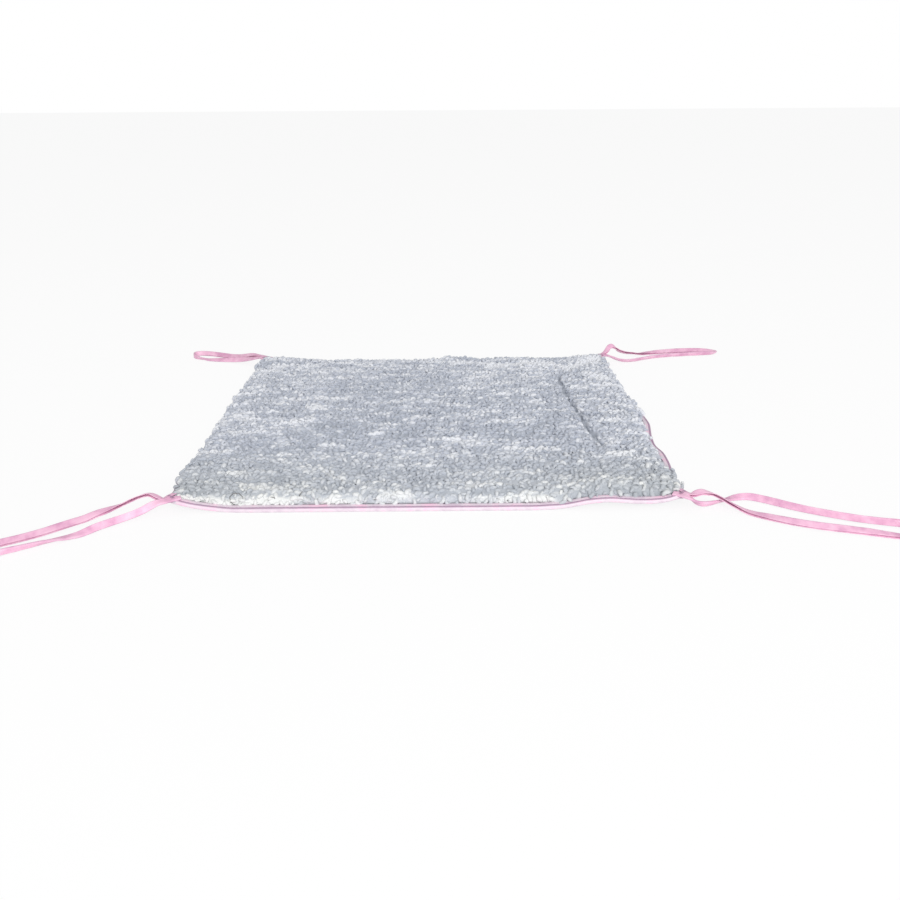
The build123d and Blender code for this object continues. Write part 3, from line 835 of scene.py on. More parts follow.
def sewn_tape(side, line, settings):
    """The bias tape folded over one edge, pressed into a groove by its stitches and puckered between them."""
    direction, outward = EDGES[side]
    steps, reach, outer_rise, inner_rise = line
    turns = zip(BOUND_SECTION, BOUND_SECTION[1:])
    across = np.cumsum([0.0] + [math.hypot(b[0] - a[0], b[1] - a[1]) for a, b in turns]) * MM

    def place_at(column, row):
        inset, height, pressed = BOUND_SECTION[row]
        upper = row > len(BOUND_SECTION) / 2
        step = float(steps[column])
        swell = abs(math.sin(math.pi * step / settings.stitch_pitch))
        height += (0.1 if upper else -0.05) * swell * max(0.0, 1 - abs(inset - SEAM_INSET) / 3)
        wobble = 0.25 * noise.noise(Vector((step / (9 * MM), 0.3 * row, 7.0 + outward.x + 2 * outward.y)))
        share = (inset * MM - RISE_INSETS[0]) / (RISE_INSETS[1] - RISE_INSETS[0])
        rise = float(outer_rise[column] + (inner_rise[column] - outer_rise[column]) * share)
        level = max(rise + height * MM, settings.cloth / 2 + CLEAR_OF_GROUND)
        place = direction * step + outward * float(reach[column] - (inset + wobble * (0.3 + inset / 6)) * MM)
        place.z = level + (wobble * 0.5 * MM if upper else 0.0)
        # The groove share is painted shade in the stitched groove
        return place, pressed

    return tape_sheet(steps, across, place_at)


def add_stitches(name, stitch, centres, turns, thread):
    """One piece of many stitches, each with its place and its turn, on the pad."""
    mesh = repeated(stitch, np.array(centres), np.array(turns), np.full(len(centres), 0.5), name)
    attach(object_from(name, mesh, thread), PAD)


class PileSettings(bpy.types.PropertyGroup):
    """Sizes and colours of the sherpa pile."""

    curl_spacing: FloatProperty(
        name="Curl spacing", description="Distance between neighbouring curls of pile",
        default=3.6 * MM, min=1.5 * MM, max=10 * MM, unit="LENGTH",
    )
    curl_ring: FloatProperty(
        name="Curl radius", description="Radius of a curl, to the middle of its strand",
        default=1.8 * MM, min=0.5 * MM, max=5 * MM, unit="LENGTH",
    )
    strand: FloatProperty(
        name="Strand radius", description="Radius of the strand of fibres that makes a curl",
        default=1.7 * MM, min=0.2 * MM, max=3 * MM, unit="LENGTH",
    )
    spread: FloatProperty(
        name="Side spread", description="How far the pile swells out over the side tapes",
        default=5.5 * MM, min=0, max=10 * MM, unit="LENGTH",
    )
    # Deep in the pile the colour is darker, as painted shade
    root_shade_colour: FloatVectorProperty(
        name="Root colour", description="Colour deep in the pile",
        subtype="COLOR", default=linear("#959ca8"),
    )
    pile_colour: FloatVectorProperty(
        name="Pile colour", description="Colour of most of the pile",
        subtype="COLOR", default=linear("#babfca"),
    )
    tip_colour: FloatVectorProperty(
        name="Tip colour", description="Colour of the brushed tips",
        subtype="COLOR", default=linear("#e2e4e9"),
    )
    cream_tint: FloatVectorProperty(
        name="Cream tint", description="Tint of the pile at the front corners",
        subtype="COLOR", default=linear("#fffef6"),
    )


class TapeSettings(bpy.types.PropertyGroup):
    """Sizes and colours of the satin bias tape and its thread."""

    leg: FloatProperty(
        name="Folded width", description="Width of the bias tape once folded",
        default=6.0 * MM, min=3 * MM, max=20 * MM, unit="LENGTH",
    )
    cloth: FloatProperty(
        name="Leg thickness", description="Thickness of one leg of the folded tape, two plies of satin",
        default=0.6 * MM, min=0.2 * MM, max=2 * MM, unit="LENGTH",
    )
    stitch_pitch: FloatProperty(
        name="Stitch length", description="Distance from stitch to stitch",
        default=3.0 * MM, min=1 * MM, max=8 * MM, unit="LENGTH",
    )
    light_colour: FloatVectorProperty(
        name="Light pink", description="Satin where it catches the light",
        subtype="COLOR", default=linear("#f1c7dc"),
    )
    main_colour: FloatVectorProperty(
        name="Pink", description="Main colour of the satin",
        subtype="COLOR", default=linear("#eab6d1"),
    )
    deep_colour: FloatVectorProperty(
        name="Deep pink", description="Satin in its folds",
        subtype="COLOR", default=linear("#d69dbe"),
    )
    bound_colour: FloatVectorProperty(
        name="Bound pink", description="Satin pressed flat on the pad's edge",
        subtype="COLOR", default=linear("#e0d2dc"),
    )
    pressed_colour: FloatVectorProperty(
        name="Pressed pink", description="Deepest shade of the satin on the edge",
        subtype="COLOR", default=linear("#d2bfce"),
    )
    thread_colour: FloatVectorProperty(
        name="Thread", description="Colour of the sewing thread",
        subtype="COLOR", default=linear("#ac8da7"),
    )


class StageSettings(bpy.types.PropertyGroup):
    """The camera and the lights."""

    lens: FloatProperty(
        name="Lens", description="Focal length on a 36 mm sensor, in millimetres",
        default=36.28, min=10, max=200,
    )
    key_power: FloatProperty(
        name="Key light", description="Power of the soft light on the camera's side, in watts",
        default=52.0, min=0,
    )
    world_level: FloatProperty(
        name="Surrounding light", description="Strength of the even white surroundings",
        default=0.64, min=0, max=2,
    )


class HAMMOCK_OT_wadding(bpy.types.Operator):
    """Makes the wadding between the two panels"""

    bl_idname = "hammock.wadding"
    bl_label = "Wadding"

    def execute(self, context):
        material = batting_material([linear("#dcdcd8"), linear("#f4f4f0")])
        name = "wadding_batting"
        batting = object_from(name, mesh_from(merged_copy("wadding"), name), material)
        remesh_evenly(batting, 2.0 * MM)
        batting.data.shade_smooth()
        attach(batting, PAD)
        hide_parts("wadding")
        return {"FINISHED"}


class HAMMOCK_OT_lining(bpy.types.Operator):
    """Makes the knit lining panel, the underside of the pad"""

    bl_idname = "hammock.lining"
    bl_label = "Lining panel"

    def execute(self, context):
        bm = bmesh.new()
        bmesh.ops.create_grid(bm, x_segments=LINING_FACES, y_segments=LINING_FACES, size=1.0)
        self.cut_out(bm)
        self.lay(bm, tree_of("lining_panel"))
        material = knit_material([linear("#aab0ba"), linear("#c9ced6")])
        cloth = cloth_from("lining_cloth", bm, LINING_THICKNESS, 0, material)
        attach(cloth, PAD)
        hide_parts("lining_panel")
        return {"FINISHED"}

    def cut_out(self, bm):
        """Fits a square from -1 to 1 into the bound edges and the cut corners."""
        rims = {side: rim_of(side)[:2] for side in ("left", "right")}
        for vertex in bm.verts:
            y = vertex.co.y * (HALF_DEPTH - LINING_INSET)
            right = float(np.interp(y, *rims["right"])) - LINING_INSET
            left = -float(np.interp(y, *rims["left"])) + LINING_INSET
            x = left + (right - left) * (vertex.co.x + 1) / 2
            clip = abs(x) + abs(y) - (HALF_WIDTH + HALF_DEPTH - CORNER_CUT - LINING_CLIP)
            if clip > 0:
                x -= math.copysign(clip / 2, x)
                y -= math.copysign(clip / 2, y)
            vertex.co = (x, y, 0.0)
        bmesh.ops.remove_doubles(bm, verts=bm.verts, dist=0.2 * MM)

    def lay(self, bm, tree):
        """Lays the cloth on the frame's lining, puckered beside the seam and slightly wrinkled elsewhere."""
        for vertex in bm.verts:
            x, y, _ = vertex.co
            hit, _, _, _ = tree.ray_cast(Vector((x, y, -50 * MM)), UP)
            if hit is None:
                hit, _, _, _ = tree.find_nearest(Vector((x, y, 4 * MM)))
            vertex.co.z = hit.z
        bmesh.ops.smooth_vert(bm, verts=bm.verts, factor=0.5, use_axis_z=True)
        for vertex in bm.verts:
            x, y, z = vertex.co
            near_edge = min(HALF_WIDTH - abs(x), HALF_DEPTH - abs(y))
            pucker = math.exp(-max(0.0, near_edge - 6 * MM) / (16 * MM))
            ripple = noise.noise(Vector((x / (7 * MM), y / (7 * MM), 5.0)))
            wrinkle = noise.noise(Vector((x / (40 * MM), y / (26 * MM), 9.0)))
            vertex.co.z = z + 0.3 * MM + max(0.0, 0.35 * ripple * pucker + 0.3 * wrinkle) * MM


class HAMMOCK_OT_sherpa(bpy.types.Operator):
    """Makes the sherpa panel: a soft pile body and the curls that stand on it"""

    bl_idname = "hammock.sherpa"
    bl_label = "Sherpa panel"

    def execute(self, context):
        settings = context.scene.hammock_pile
        material = sherpa_material(settings)
        rims = {side: rim_of(side) for side in EDGES}
        name = "sherpa_pile"
        pile = object_from(name, mesh_from(merged_copy("sherpa_panel"), name), material)
        fill_with_cloth(pile, voxel=4.2 * MM, pressure=4.0, most=1.0 * MM)
        subdivide(pile, 1)
        baked(pile)
        places, directions = vertex_rows(pile.data, "co"), vertex_rows(pile.data, "normal")
        raised = pile_height(places)
        upper = np.clip(directions[:, 2] + 0.6, 0.0, 1.0)
        step = upper * (1.1 * raised - 0.9 - 2.6 * crease_depth(places)) * MM
        places += directions * step[:, None]
        set_places(pile.data, spread_out(places, rims, settings.spread))
        # The body under the curls gets a lower tone than the curls, and a lower one still in the creases:
        # painted shade deep in the pile and in the folds
        tone = 0.22 + 1.5 * pile_tone(places, directions, raised) - 0.3 * crease_depth(places)
        set_attribute(pile.data, "tone", tone)
        pile.data.shade_smooth()
        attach(pile, PAD)
        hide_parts("sherpa_panel")
        self.scatter_curls(pile, settings, material, rims)
        return {"FINISHED"}

    def scatter_curls(self, pile, settings, material, rims):
        """Sets locks, which run mostly across the pad, and tight curls all over the pile."""
        rng = np.random.default_rng(SEED)
        places, facing = scattered(pile.data, settings.curl_spacing, rng, LEAST_UP)
        kept = crease_depth(places) < CREASE_BARE
        places, facing = places[kept], facing[kept]
        away, along_fold = near_line(places, CREASES[0][0])
        raised = pile_height(places)
        pale = pile_tone(places, facing, raised)
        ring, strand = settings.curl_ring, settings.strand
        kinds = LOCKS + TIGHT_CURLS
        templates = [
            curl_template(ring * wide, strand * thick, math.radians(arc), strand * rise)
            for wide, thick, arc, rise, _ in kinds
        ]
        for band, members in enumerate(np.array_split(np.argsort(places[:, 1]), CURL_BANDS)):
            meshes = []
            drawn = rng.choice(len(kinds), size=len(members), p=[kind[-1] for kind in kinds])
            for kind, (template, (wide, *_)) in enumerate(zip(templates, kinds)):
                group = members[drawn == kind]
                count = len(group)
                size = rng.uniform(0.8, 1.2, count)
                jitter = rng.normal(size=(count, 3))
                depth = 0.3 * raised[group] + rng.uniform(-0.3, 0.3, count)
                lock = kind < len(LOCKS)
                if lock:
                    tops = facing[group] + 0.25 * jitter
                    yaw = rng.normal(0, 0.6, count)
                    axes = np.stack([np.sin(yaw), np.cos(yaw), 0.3 * jitter[:, 0]], axis=1)
                    fold = along_fold[group]
                    across_fold = np.stack([-fold[:, 1], fold[:, 0], 0.2 * jitter[:, 0]], axis=1)
                    axes = np.where(away[group, None] < CREASE_REACH, across_fold, axes)
                    depth += 0.4 - size * wide * ring / MM
                else:
                    tops = facing[group] + 0.8 * jitter
                    axes = rng.normal(size=(count, 3))
                    depth -= 0.5
                turns = turns_to(tops, axes) * size[:, None, None]
                centres = places[group] + facing[group] * depth[:, None] * MM
                # Over the tape no curl sinks into it
                inset, tape_top = over_tapes(centres, rims)
                lowest = tape_top + (strand + (0.4 * MM if lock else ring)) * 0.65 * size
                if lock:
                    lowest -= size * wide * ring * 0.7
                raised_up = np.maximum(centres[:, 2], lowest)
                centres[:, 2] = np.where(inset < 6 * MM, raised_up, centres[:, 2])
                # The curls start paler than the body under them, whose darkness is painted shade; pale also
                # carries painted light
                tones = 0.36 + pale[group] + rng.normal(0, 0.06, count)
                shown = ~in_gaps(centres) | (inset > 7 * MM)
                meshes.append(repeated(
                    template, centres[shown], turns[shown], tones[shown], "curls", FIBRE_SCATTER, rng,
                ))
            name = f"sherpa_curls_{band + 1}"
            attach(object_from(name, joined_mesh(meshes, name), material), PAD)


class HAMMOCK_OT_hairs(bpy.types.Operator):
    """Lays the few dark hairs that cling to the pile's front face"""

    bl_idname = "hammock.hairs"
    bl_label = "Loose hairs"

    def execute(self, context):
        material = hair_material(linear("#4a4644"))
        front_curls = bpy.data.objects["sherpa_curls_1"]
        surface = BVHTree.FromObject(front_curls, context.evaluated_depsgraph_get())
        meshes = []
        for x, height, ring, arc, lean in HAIRS:
            turn = Matrix.Rotation(math.radians(lean), 3, "Y") @ Matrix.Rotation(math.pi / 2, 3, "X")
            turn = np.array(turn)
            points, faces = curl_template(ring * MM, HAIR_RADIUS, math.radians(arc), HAIR_RISE)
            if arc < 180:
                points[:, 0] -= ring * MM
            # It rests on the curls that stand furthest out behind it
            places = points @ turn.T + np.array((x, 0, height)) * MM
            starts = [Vector((place[0], -HALF_DEPTH - RAY_START, place[2])) for place in places]
            hits = [surface.ray_cast(start, Vector((0, 1, 0)))[0] for start in starts]
            hits = [hit.y for hit in hits if hit is not None]
            if not hits:
                raise RuntimeError(f"no pile behind the hair at {x} mm")
            place = np.array((x * MM, np.percentile(hits, 30), height * MM))
            meshes.append(repeated((points, faces), place[None], turn[None], np.array([0.0]), "hair"))
        hairs = object_from("loose_hairs", joined_mesh(meshes, "loose_hairs"), material)
        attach(hairs, PAD)
        return {"FINISHED"}


class HAMMOCK_OT_binding(bpy.types.Operator):
    """Makes the satin tape that binds the four edges, with its line of stitches"""

    bl_idname = "hammock.binding"
    bl_label = "Edge binding"

    def execute(self, context):
        settings = context.scene.hammock_tape
        colours = [settings.pressed_colour, settings.bound_colour, settings.light_colour]
        satin = satin_material("satin_bias_tape_binding", colours, settings.thread_colour)
        thread = thread_material(settings.thread_colour)
        stitch = stitch_template(settings.stitch_pitch * 0.8, STITCH_RADIUS)
        for side in EDGES:
            line = edge_line(side, settings.stitch_pitch / 4)
            tape = sewn_tape(side, line, settings)
            piece = cloth_from(f"binding_tape_{side}", tape, settings.cloth, 0, satin)
            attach(piece, PAD)
            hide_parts(f"binding_{side}")
            self.sew(side, line, stitch, thread, settings)
        return {"FINISHED"}

    def sew(self, side, line, stitch, thread, settings):
        """Lays a row of stitches in the groove, on the upper and the lower leg."""
        direction, outward = EDGES[side]
        steps, reach, outer_rise, inner_rise = line
        pitch = settings.stitch_pitch
        along = np.arange(steps[0] + pitch, steps[-1] - pitch / 2, pitch)
        out = np.interp(along, steps, reach)
        rise = np.interp(along, steps, outer_rise * (1 - SEAM_SHARE) + inner_rise * SEAM_SHARE)
        slope = np.gradient(rise, along)
        lean = np.gradient(out, along)
        half = settings.cloth / 2
        centres, turns = [], []
        for height, least in ((SEAM_TOP + half, 0.0), (SEAM_BOTTOM - half, SEAM_FLOOR)):
            for step, reached, raised, slant, drift in zip(along, out, rise, slope, lean):
                forward = (direction + outward * float(drift) + UP * float(slant)).normalized()
                place = direction * float(step) + outward * float(reached - SEAM_INSET * MM)
                centres.append((place.x, place.y, max(raised + height, least)))
                beside = forward.cross(UP).normalized()
                turns.append(np.array([forward, beside, forward.cross(beside)]).T)
        add_stitches(f"stitches_{side}", stitch, centres, turns, thread)


# For each loop: the side and the end of its corner, its heading in degrees, its reach in millimetres, which
# way its fold lies, and stations of its tape as the frame's solids have them, but for the rear right loop's
# far end, which lies flatter: distance out and aside, as shares of the reach; rise, as a share of the root's
# height; roll in degrees; and spread, from folded to open
LOOPS = {
    "front_right": (1, -1, -15.0, 170.0, -1, (
        (0.032, 0.028, 0.95, 26, 0.0), (0.054, 0.041, 0.98, 26, 0.0), (0.075, 0.049, 0.95, 8, 0.0),
        (0.106, 0.052, 0.80, -14, 0.0), (0.141, 0.045, 0.59, -18, 0.0), (0.172, 0.037, 0.41, -14, 0.0),
        (0.203, 0.029, 0.27, -8, 0.0), (0.240, 0.018, 0.14, 0, 0.0), (0.282, 0.002, 0.02, 12, 0.1),
        (0.330, -0.018, 0.0, 26, 0.1), (0.384, -0.038, 0.0, 36, 0.1), (0.450, -0.056, 0.0, 42, 0.1),
        (0.541, -0.069, 0.0, 44, 0.1), (0.693, -0.075, 0.0, 38, 0.1), (0.780, -0.077, 0.0, 28, 0.1),
        (0.862, -0.075, 0.0, 10, 0.1), (0.912, -0.071, 0.0, -22, 0.1), (0.952, -0.062, 0.0, -56, 0.1),
        (0.983, -0.042, 0.0, -82, 0.1), (0.997, -0.013, 0.0, -90, 0.1), (0.978, 0.012, 0.0, -86, 0.2),
        (0.930, 0.023, 0.0, -72, 0.3), (0.870, 0.028, 0.0, -60, 0.4), (0.791, 0.032, 0.0, -52, 0.4),
        (0.700, 0.040, 0.0, -50, 0.4), (0.580, 0.063, 0.0, -50, 0.4), (0.460, 0.098, 0.0, -50, 0.3),
        (0.388, 0.129, 0.0, -50, 0.2), (0.321, 0.157, 0.0, -50, 0.1), (0.262, 0.171, 0.0, -42, 0.1),
        (0.214, 0.163, 0.0, -20, 0.0), (0.174, 0.132, 0.0, 12, 0.0), (0.128, 0.078, 0.04, 42, 0.0),
        (0.078, 0.031, 0.09, 56, 0.0), (0.048, 0.010, 0.24, 46, 0.0), (0.028, -0.002, 0.46, 28, 0.0),
    )),
    "front_left": (-1, -1, 214.0, 166.0, 1, (
        (0.040, -0.058, 1.22, 5, 0.0), (0.078, -0.068, 1.12, 16, 0.0), (0.114, -0.076, 0.93, 20, 0.0),
        (0.166, -0.089, 0.70, 10, 0.0), (0.218, -0.106, 0.43, -18, 0.1), (0.270, -0.114, 0.17, -42, 0.2),
        (0.328, -0.111, 0.0, -52, 0.2), (0.387, -0.101, 0.0, -54, 0.2), (0.449, -0.090, 0.0, -52, 0.2),
        (0.519, -0.078, 0.0, -48, 0.2), (0.604, -0.073, 0.0, -46, 0.2), (0.690, -0.073, 0.0, -48, 0.2),
        (0.780, -0.070, 0.0, -54, 0.2), (0.870, -0.064, 0.0, -68, 0.2), (0.945, -0.050, 0.0, -84, 0.2),
        (0.988, -0.022, 0.0, -90, 0.2), (0.996, 0.010, 0.0, -90, 0.2), (0.972, 0.034, 0.0, -85, 0.2),
        (0.920, 0.044, 0.0, -78, 0.2), (0.840, 0.040, 0.0, -71, 0.2), (0.765, 0.030, 0.0, -66, 0.2),
        (0.695, 0.024, 0.0, -62, 0.2), (0.622, 0.025, 0.0, -56, 0.2), (0.550, 0.024, 0.0, -44, 0.2),
        (0.492, 0.021, 0.0, -28, 0.1), (0.438, 0.021, 0.0, -10, 0.1), (0.390, 0.020, 0.0, 8, 0.1),
        (0.344, 0.014, 0.0, 28, 0.1), (0.298, 0.004, 0.0, 44, 0.2), (0.233, -0.009, 0.0, 54, 0.2),
        (0.161, -0.013, 0.08, 56, 0.2), (0.100, -0.009, 0.27, 52, 0.2), (0.058, -0.003, 0.56, 38, 0.1),
        (0.026, 0.004, 0.80, 18, 0.0),
    )),
    "rear_left": (-1, 1, 158.0, 98.0, 1, (
        (0.090, -0.034, 0.88, -14, 0.0), (0.150, -0.054, 0.76, -34, 0.1), (0.225, -0.078, 0.60, -48, 0.1),
        (0.320, -0.108, 0.38, -54, 0.1), (0.430, -0.144, 0.17, -56, 0.1), (0.550, -0.176, 0.03, -58, 0.1),
        (0.680, -0.195, 0.0, -58, 0.1), (0.800, -0.200, 0.0, -58, 0.1), (0.900, -0.196, 0.0, -60, 0.1),
        (0.980, -0.178, 0.0, -68, 0.1), (1.032, -0.140, 0.0, -82, 0.1), (1.046, -0.094, 0.0, -90, 0.1),
        (1.022, -0.052, 0.0, -90, 0.1), (0.974, -0.022, 0.0, -78, 0.0), (0.915, -0.006, 0.0, -54, 0.0),
        (0.850, -0.002, 0.0, -28, 0.0), (0.780, -0.008, 0.0, -6, 0.0), (0.690, -0.022, 0.0, 12, 0.0),
        (0.590, -0.036, 0.0, 24, 0.0), (0.490, -0.048, 0.03, 34, 0.0), (0.390, -0.050, 0.10, 38, 0.0),
        (0.290, -0.036, 0.24, 36, 0.0), (0.200, -0.012, 0.42, 28, 0.0), (0.120, 0.014, 0.64, 14, 0.0),
    )),
    "rear_right": (1, 1, 15.0, 147.0, -1, (
        (0.028, 0.020, 1.14, 20, 0.0), (0.050, 0.024, 1.42, 48, 0.0), (0.076, 0.027, 1.52, 50, 0.0),
        (0.106, 0.032, 1.38, 22, 0.0), (0.148, 0.046, 1.02, -6, 0.0), (0.220, 0.076, 0.62, -14, 0.0),
        (0.300, 0.112, 0.38, -10, 0.0), (0.380, 0.144, 0.20, 0, 0.1), (0.462, 0.164, 0.07, 18, 0.1),
        (0.557, 0.169, 0.0, 38, 0.1), (0.689, 0.159, 0.0, 48, 0.1), (0.818, 0.139, 0.0, 50, 0.1),
        (0.930, 0.108, 0.0, 44, 0.1), (0.990, 0.078, 0.0, 34, 0.1), (1.016, 0.046, 0.0, 30, 0.1),
        (1.004, 0.018, 0.0, 34, 0.1), (0.960, 0.009, 0.0, 44, 0.1), (0.895, 0.015, 0.0, 52, 0.1),
        (0.801, 0.027, 0.0, 54, 0.1), (0.671, 0.040, 0.0, 50, 0.1), (0.539, 0.044, 0.0, 48, 0.1),
        (0.430, 0.036, 0.0, 46, 0.1), (0.330, 0.012, 0.0, 44, 0.1), (0.245, -0.004, 0.0, 40, 0.1),
        (0.175, 0.002, 0.06, 34, 0.1), (0.115, 0.004, 0.30, 24, 0.0), (0.065, -0.002, 0.62, 12, 0.0),
    )),
}


def smooth_rows(rows, spacing):
    """A smooth line through rows of numbers, of which the first three are a place, in even steps."""
    rows = [np.array(row, dtype=float) for row in rows]
    rows = [2 * rows[0] - rows[1], *rows, 2 * rows[-1] - rows[-2]]
    fine = []
    for before, start, end, after in zip(rows, rows[1:], rows[2:], rows[3:]):
        for t in np.linspace(0, 1, 24, endpoint=False):
            fine.append(0.5 * (
                2 * start + (end - before) * t + (2 * before - 5 * start + 4 * end - after) * t**2
                + (3 * start - before - 3 * end + after) * t**3
            ))
    fine.append(rows[-2])
    fine = np.array(fine)
    lengths = np.concatenate([[0], np.cumsum(np.linalg.norm(np.diff(fine[:, :3], axis=0), axis=1))])
    even = np.linspace(0, lengths[-1], int(lengths[-1] / spacing) + 1)
    return even, np.stack([np.interp(even, lengths, fine[:, k]) for k in range(fine.shape[1])], axis=1)


def folded_section(leg, spread, count):
    """The tape's middle ply in section, for a spread from 0, folded, to 1, open: places across and above."""
    # The legs open from 8 degrees, nearly shut, to 172, nearly flat
    opening = math.radians(8 + 164 * max(0.0, min(1.0, spread)) ** 1.8)
    steps = np.linspace(-leg, leg, count)
    turn = 0.7 * MM
    share = np.clip((steps + turn) / (2 * turn), 0, 1)
    share = share * share * (3 - 2 * share)
    angles = math.pi + opening + (math.pi - opening) * share
    middle = (angles[:-1] + angles[1:]) / 2
    gaps = np.diff(steps)
    across = np.concatenate([[0], np.cumsum(np.cos(middle) * gaps)])
    above = np.concatenate([[0], np.cumsum(np.sin(middle) * gaps)])
    above -= above[-1]
    across -= (across.min() + across.max()) / 2
    return steps, across, above


def swept_tape(lengths, line, fold_side, settings):
    """The folded tape's single sheet along a loop's line."""
    places = [Vector(row[:3]) for row in line]
    ahead, behind = [*places[1:], places[-1]], [places[0], *places[:-1]]
    travels = [(after - before).normalized() for after, before in zip(ahead, behind)]
    sections = [folded_section(settings.leg, row[4], LOOP_POINTS) for row in line]

    def place_at(column, row):
        travel = travels[column]
        roll, spread = math.radians(line[column][3]), line[column][4]
        level = Vector((-travel.y, travel.x, 0)).normalized()
        across = level * math.cos(roll) + travel.cross(level) * math.sin(roll)
        steps, aside, height = sections[column]
        ruffle = 0.22 * noise.noise(Vector((lengths[column] / (7 * MM), row * 0.25, 3.0 * len(line)))) * MM
        base = -LOOP_THICKNESS / 2 * (2 - spread) + settings.cloth / 2
        place = places[column] + across * float(aside[row] * fold_side)
        place += travel.cross(across) * float(height[row] + base + ruffle)
        # The fold itself is painted a little darker, as painted shade
        return place, 0.35 if abs(steps[row]) / settings.leg < 0.12 else 0.0

    return tape_sheet(lengths, sections[0][0], place_at)


class HAMMOCK_OT_tie_loops(bpy.types.Operator):
    """Makes the four tie loops of folded satin tape, with the bar tacks at their roots"""

    bl_idname = "hammock.tie_loops"
    bl_label = "Tie loops"

    def execute(self, context):
        settings = context.scene.hammock_tape
        colours = [settings.deep_colour, settings.main_colour, settings.light_colour]
        satin = satin_material("satin_bias_tape_loop", colours, settings.thread_colour)
        thread = thread_material(settings.thread_colour)
        stitch = stitch_template(TACK_LENGTH, TACK_RADIUS)
        joints = {joint["child"]: joint for joint in frame["joints"]}
        for name, values in LOOPS.items():
            body = f"tie_loop_{name}"
            root = Vector(joints[body]["pos_m"])
            out = Vector((values[0], values[1], 0)).normalized()
            left = Vector((-out.y, out.x, 0))
            lengths, line = self.route(values, root, out, left, settings)
            tape = swept_tape(lengths, line, values[4], settings)
            piece = cloth_from(f"tape_loop_{name}", tape, settings.cloth, 1, satin)
            places = vertex_rows(piece.data, "co")
            places[:, 2] = np.maximum(places[:, 2], CLEAR_OF_GROUND)
            set_places(piece.data, places)
            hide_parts(body)
            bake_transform(piece)
            self.tack(f"bar_tack_{name}", root, out, left, stitch, thread)
        return {"FINISHED"}

    def route(self, values, root, out, left, settings):
        """The tape's line from the corner, round the loop and back: lengths along it, and its stations."""
        side, end, heading, reach, _, shares = values
        turn = math.radians(heading)
        ahead = Vector((math.cos(turn), math.sin(turn), 0))
        beside = Vector((-ahead.y, ahead.x, 0))
        corner = Vector((side * HALF_WIDTH, end * HALF_DEPTH, 0))
        reach *= MM
        tabs, stations = [], []
        for way in (1, -1):
            for inward, apart in LOOP_TABS:
                place = root - out * inward * MM + left * (side * way * apart * MM)
                place.z += TAB_LIFT * way
                tabs.append((*place, 0.0, 0.0))
        for out_share, aside_share, rise_share, roll, spread in shares:
            place = corner + ahead * (out_share * reach) + beside * (aside_share * reach)
            width = settings.leg * (1 + spread)
            thick = LOOP_THICKNESS * (2 - spread)
            turned = math.radians(roll)
            rest = (width * abs(math.sin(turned)) + thick * abs(math.cos(turned))) / 2
            place.z = rest + rise_share * root.z
            stations.append((*place, float(roll), spread))
        half = len(LOOP_TABS)
        return smooth_rows([*tabs[:half], *stations, *reversed(tabs[half:])], LOOP_SPACING)

    def tack(self, name, root, out, left, stitch, thread):
        """The bar tack: close stitches side by side across the crossed tapes, above and below."""
        centres, turns = [], []
        for way in (1, -1):
            for number in range(TACK_STITCHES):
                slant = 1 if number % 2 else -1
                shift = (number / (TACK_STITCHES - 1) - 0.5) * TACK_WIDTH
                place = root - out * (TACK_INSET + TACK_ZIGZAG * slant) + left * shift
                centres.append((place.x, place.y, place.z + way * TACK_HEIGHT))
                forward = (out + left * 0.25 * slant).normalized()
                turns.append(np.array([forward, forward.cross(UP).normalized(), UP]).T)
        add_stitches(name, stitch, centres, turns, thread)


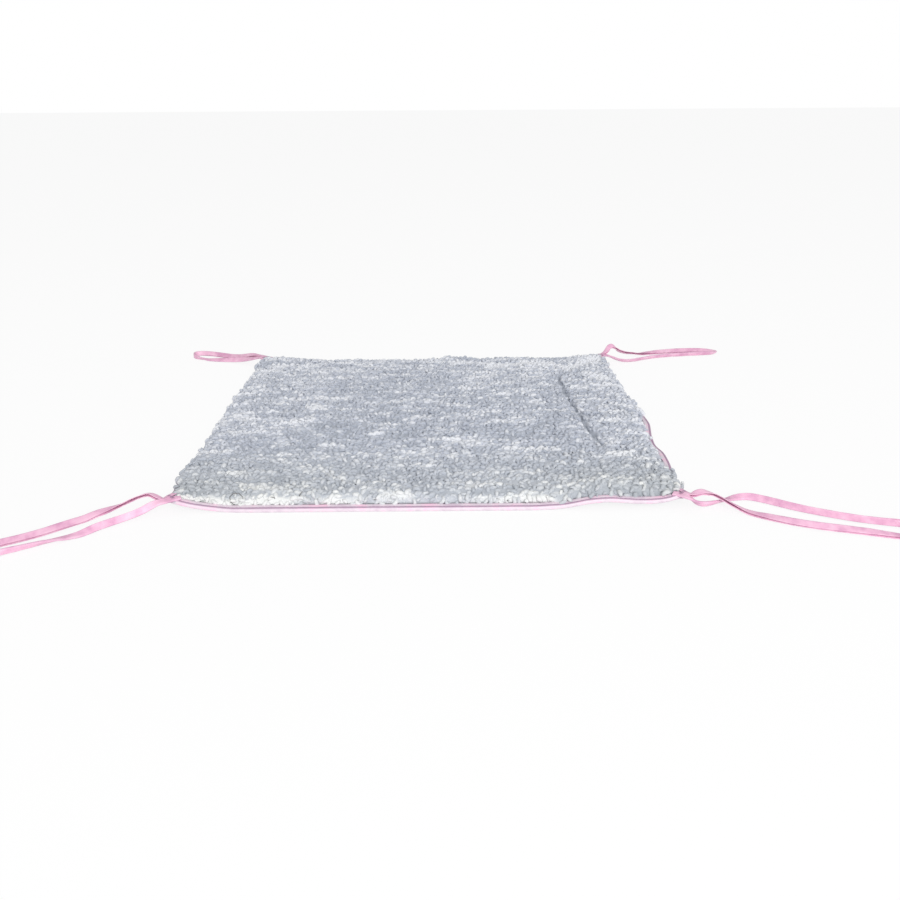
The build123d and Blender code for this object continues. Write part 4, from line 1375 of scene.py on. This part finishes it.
class HAMMOCK_OT_stage(bpy.types.Operator):
    """Makes the floor, the lights and the camera"""

    bl_idname = "hammock.stage"
    bl_label = "Stage"

    def execute(self, context):
        settings = context.scene.hammock_stage
        bm = bmesh.new()
        bmesh.ops.create_grid(bm, x_segments=1, y_segments=1, size=FLOOR_SIZE)
        floor = bpy.data.objects.new("floor", mesh_from(bm, "floor"))
        context.collection.objects.link(floor)
        floor.data.materials.append(floor_material())
        self.set_world(context.scene, settings)
        self.add_lamp(settings)
        self.add_camera(context.scene, settings)
        context.scene.view_settings.view_transform = "Standard"
        return {"FINISHED"}

    def set_world(self, scene, settings):
        """Even white surroundings, plain white where the camera sees them."""
        world = bpy.data.worlds.new("white_surroundings")
        world.use_nodes = True
        tree = world.node_tree
        tree.nodes.clear()
        ray = add_node(tree, "ShaderNodeLightPath")
        light, seen = (
            add_node(tree, "ShaderNodeBackground", inputs={"Color": (1, 1, 1, 1), "Strength": strength})
            for strength in (settings.world_level, 1.0)
        )
        shown = add_node(tree, "ShaderNodeMixShader", inputs={
            0: ray.outputs["Is Camera Ray"], 1: light.outputs[0], 2: seen.outputs[0],
        })
        add_node(tree, "ShaderNodeOutputWorld", inputs={"Surface": shown.outputs[0]})
        scene.world = world

    def add_lamp(self, settings):
        """One large soft lamp on the camera's side, which points at the pad's middle."""
        data = bpy.data.lights.new("key_light", "AREA")
        data.size = KEY_SIZE
        data.energy = settings.key_power
        lamp = bpy.data.objects.new("key_light", data)
        bpy.context.collection.objects.link(lamp)
        lamp.location = KEY_PLACE
        lamp.rotation_euler = (-Vector(KEY_PLACE)).to_track_quat("-Z", "Y").to_euler()

    def add_camera(self, scene, settings):
        """The photograph's camera, found from the pad's four corners."""
        yaw, pitch, roll = (math.radians(angle) for angle in CAMERA_TURN)
        flat = math.cos(pitch)
        forward = Vector((-math.sin(yaw) * flat, math.cos(yaw) * flat, -math.sin(pitch)))
        level = Vector((math.cos(yaw), math.sin(yaw), 0))
        down = forward.cross(level)
        right = level * math.cos(roll) + down * math.sin(roll)
        up = right.cross(forward)
        data = bpy.data.cameras.new("camera")
        data.sensor_width = SENSOR_WIDTH
        data.lens = settings.lens
        data.clip_start = 0.01
        camera = bpy.data.objects.new("camera", data)
        scene.collection.objects.link(camera)
        turn = Matrix((right, up, -forward)).transposed().to_4x4()
        camera.matrix_world = Matrix.Translation(CAMERA_PLACE) @ turn
        scene.camera = camera


class HAMMOCK_PT_panel(bpy.types.Panel):
    """Lists the pieces of the hammock and their settings"""

    bl_idname = "HAMMOCK_PT_panel"
    bl_label = "Chair cat hammock"
    bl_space_type = "VIEW_3D"
    bl_region_type = "UI"
    bl_category = "Hammock"

    def draw(self, context):
        for operator in OPERATORS:
            self.layout.operator(operator.bl_idname)
        for group in (context.scene.hammock_pile, context.scene.hammock_tape, context.scene.hammock_stage):
            for name in group.__annotations__:
                self.layout.prop(group, name)


OPERATORS = (
    HAMMOCK_OT_wadding,
    HAMMOCK_OT_lining,
    HAMMOCK_OT_sherpa,
    HAMMOCK_OT_hairs,
    HAMMOCK_OT_binding,
    HAMMOCK_OT_tie_loops,
    HAMMOCK_OT_stage,
)
CLASSES = (PileSettings, TapeSettings, StageSettings, *OPERATORS, HAMMOCK_PT_panel)


def register():
    for kind in CLASSES:
        bpy.utils.register_class(kind)
    bpy.types.Scene.hammock_pile = PointerProperty(type=PileSettings)
    bpy.types.Scene.hammock_tape = PointerProperty(type=TapeSettings)
    bpy.types.Scene.hammock_stage = PointerProperty(type=StageSettings)


def unregister():
    del bpy.types.Scene.hammock_pile
    del bpy.types.Scene.hammock_tape
    del bpy.types.Scene.hammock_stage
    for kind in reversed(CLASSES):
        bpy.utils.unregister_class(kind)


def main():
    register()
    bpy.ops.hammock.wadding()
    bpy.ops.hammock.lining()
    bpy.ops.hammock.sherpa()
    bpy.ops.hammock.hairs()
    bpy.ops.hammock.binding()
    bpy.ops.hammock.tie_loops()
    bpy.ops.hammock.stage()


if __name__ == "__main__":
    main()
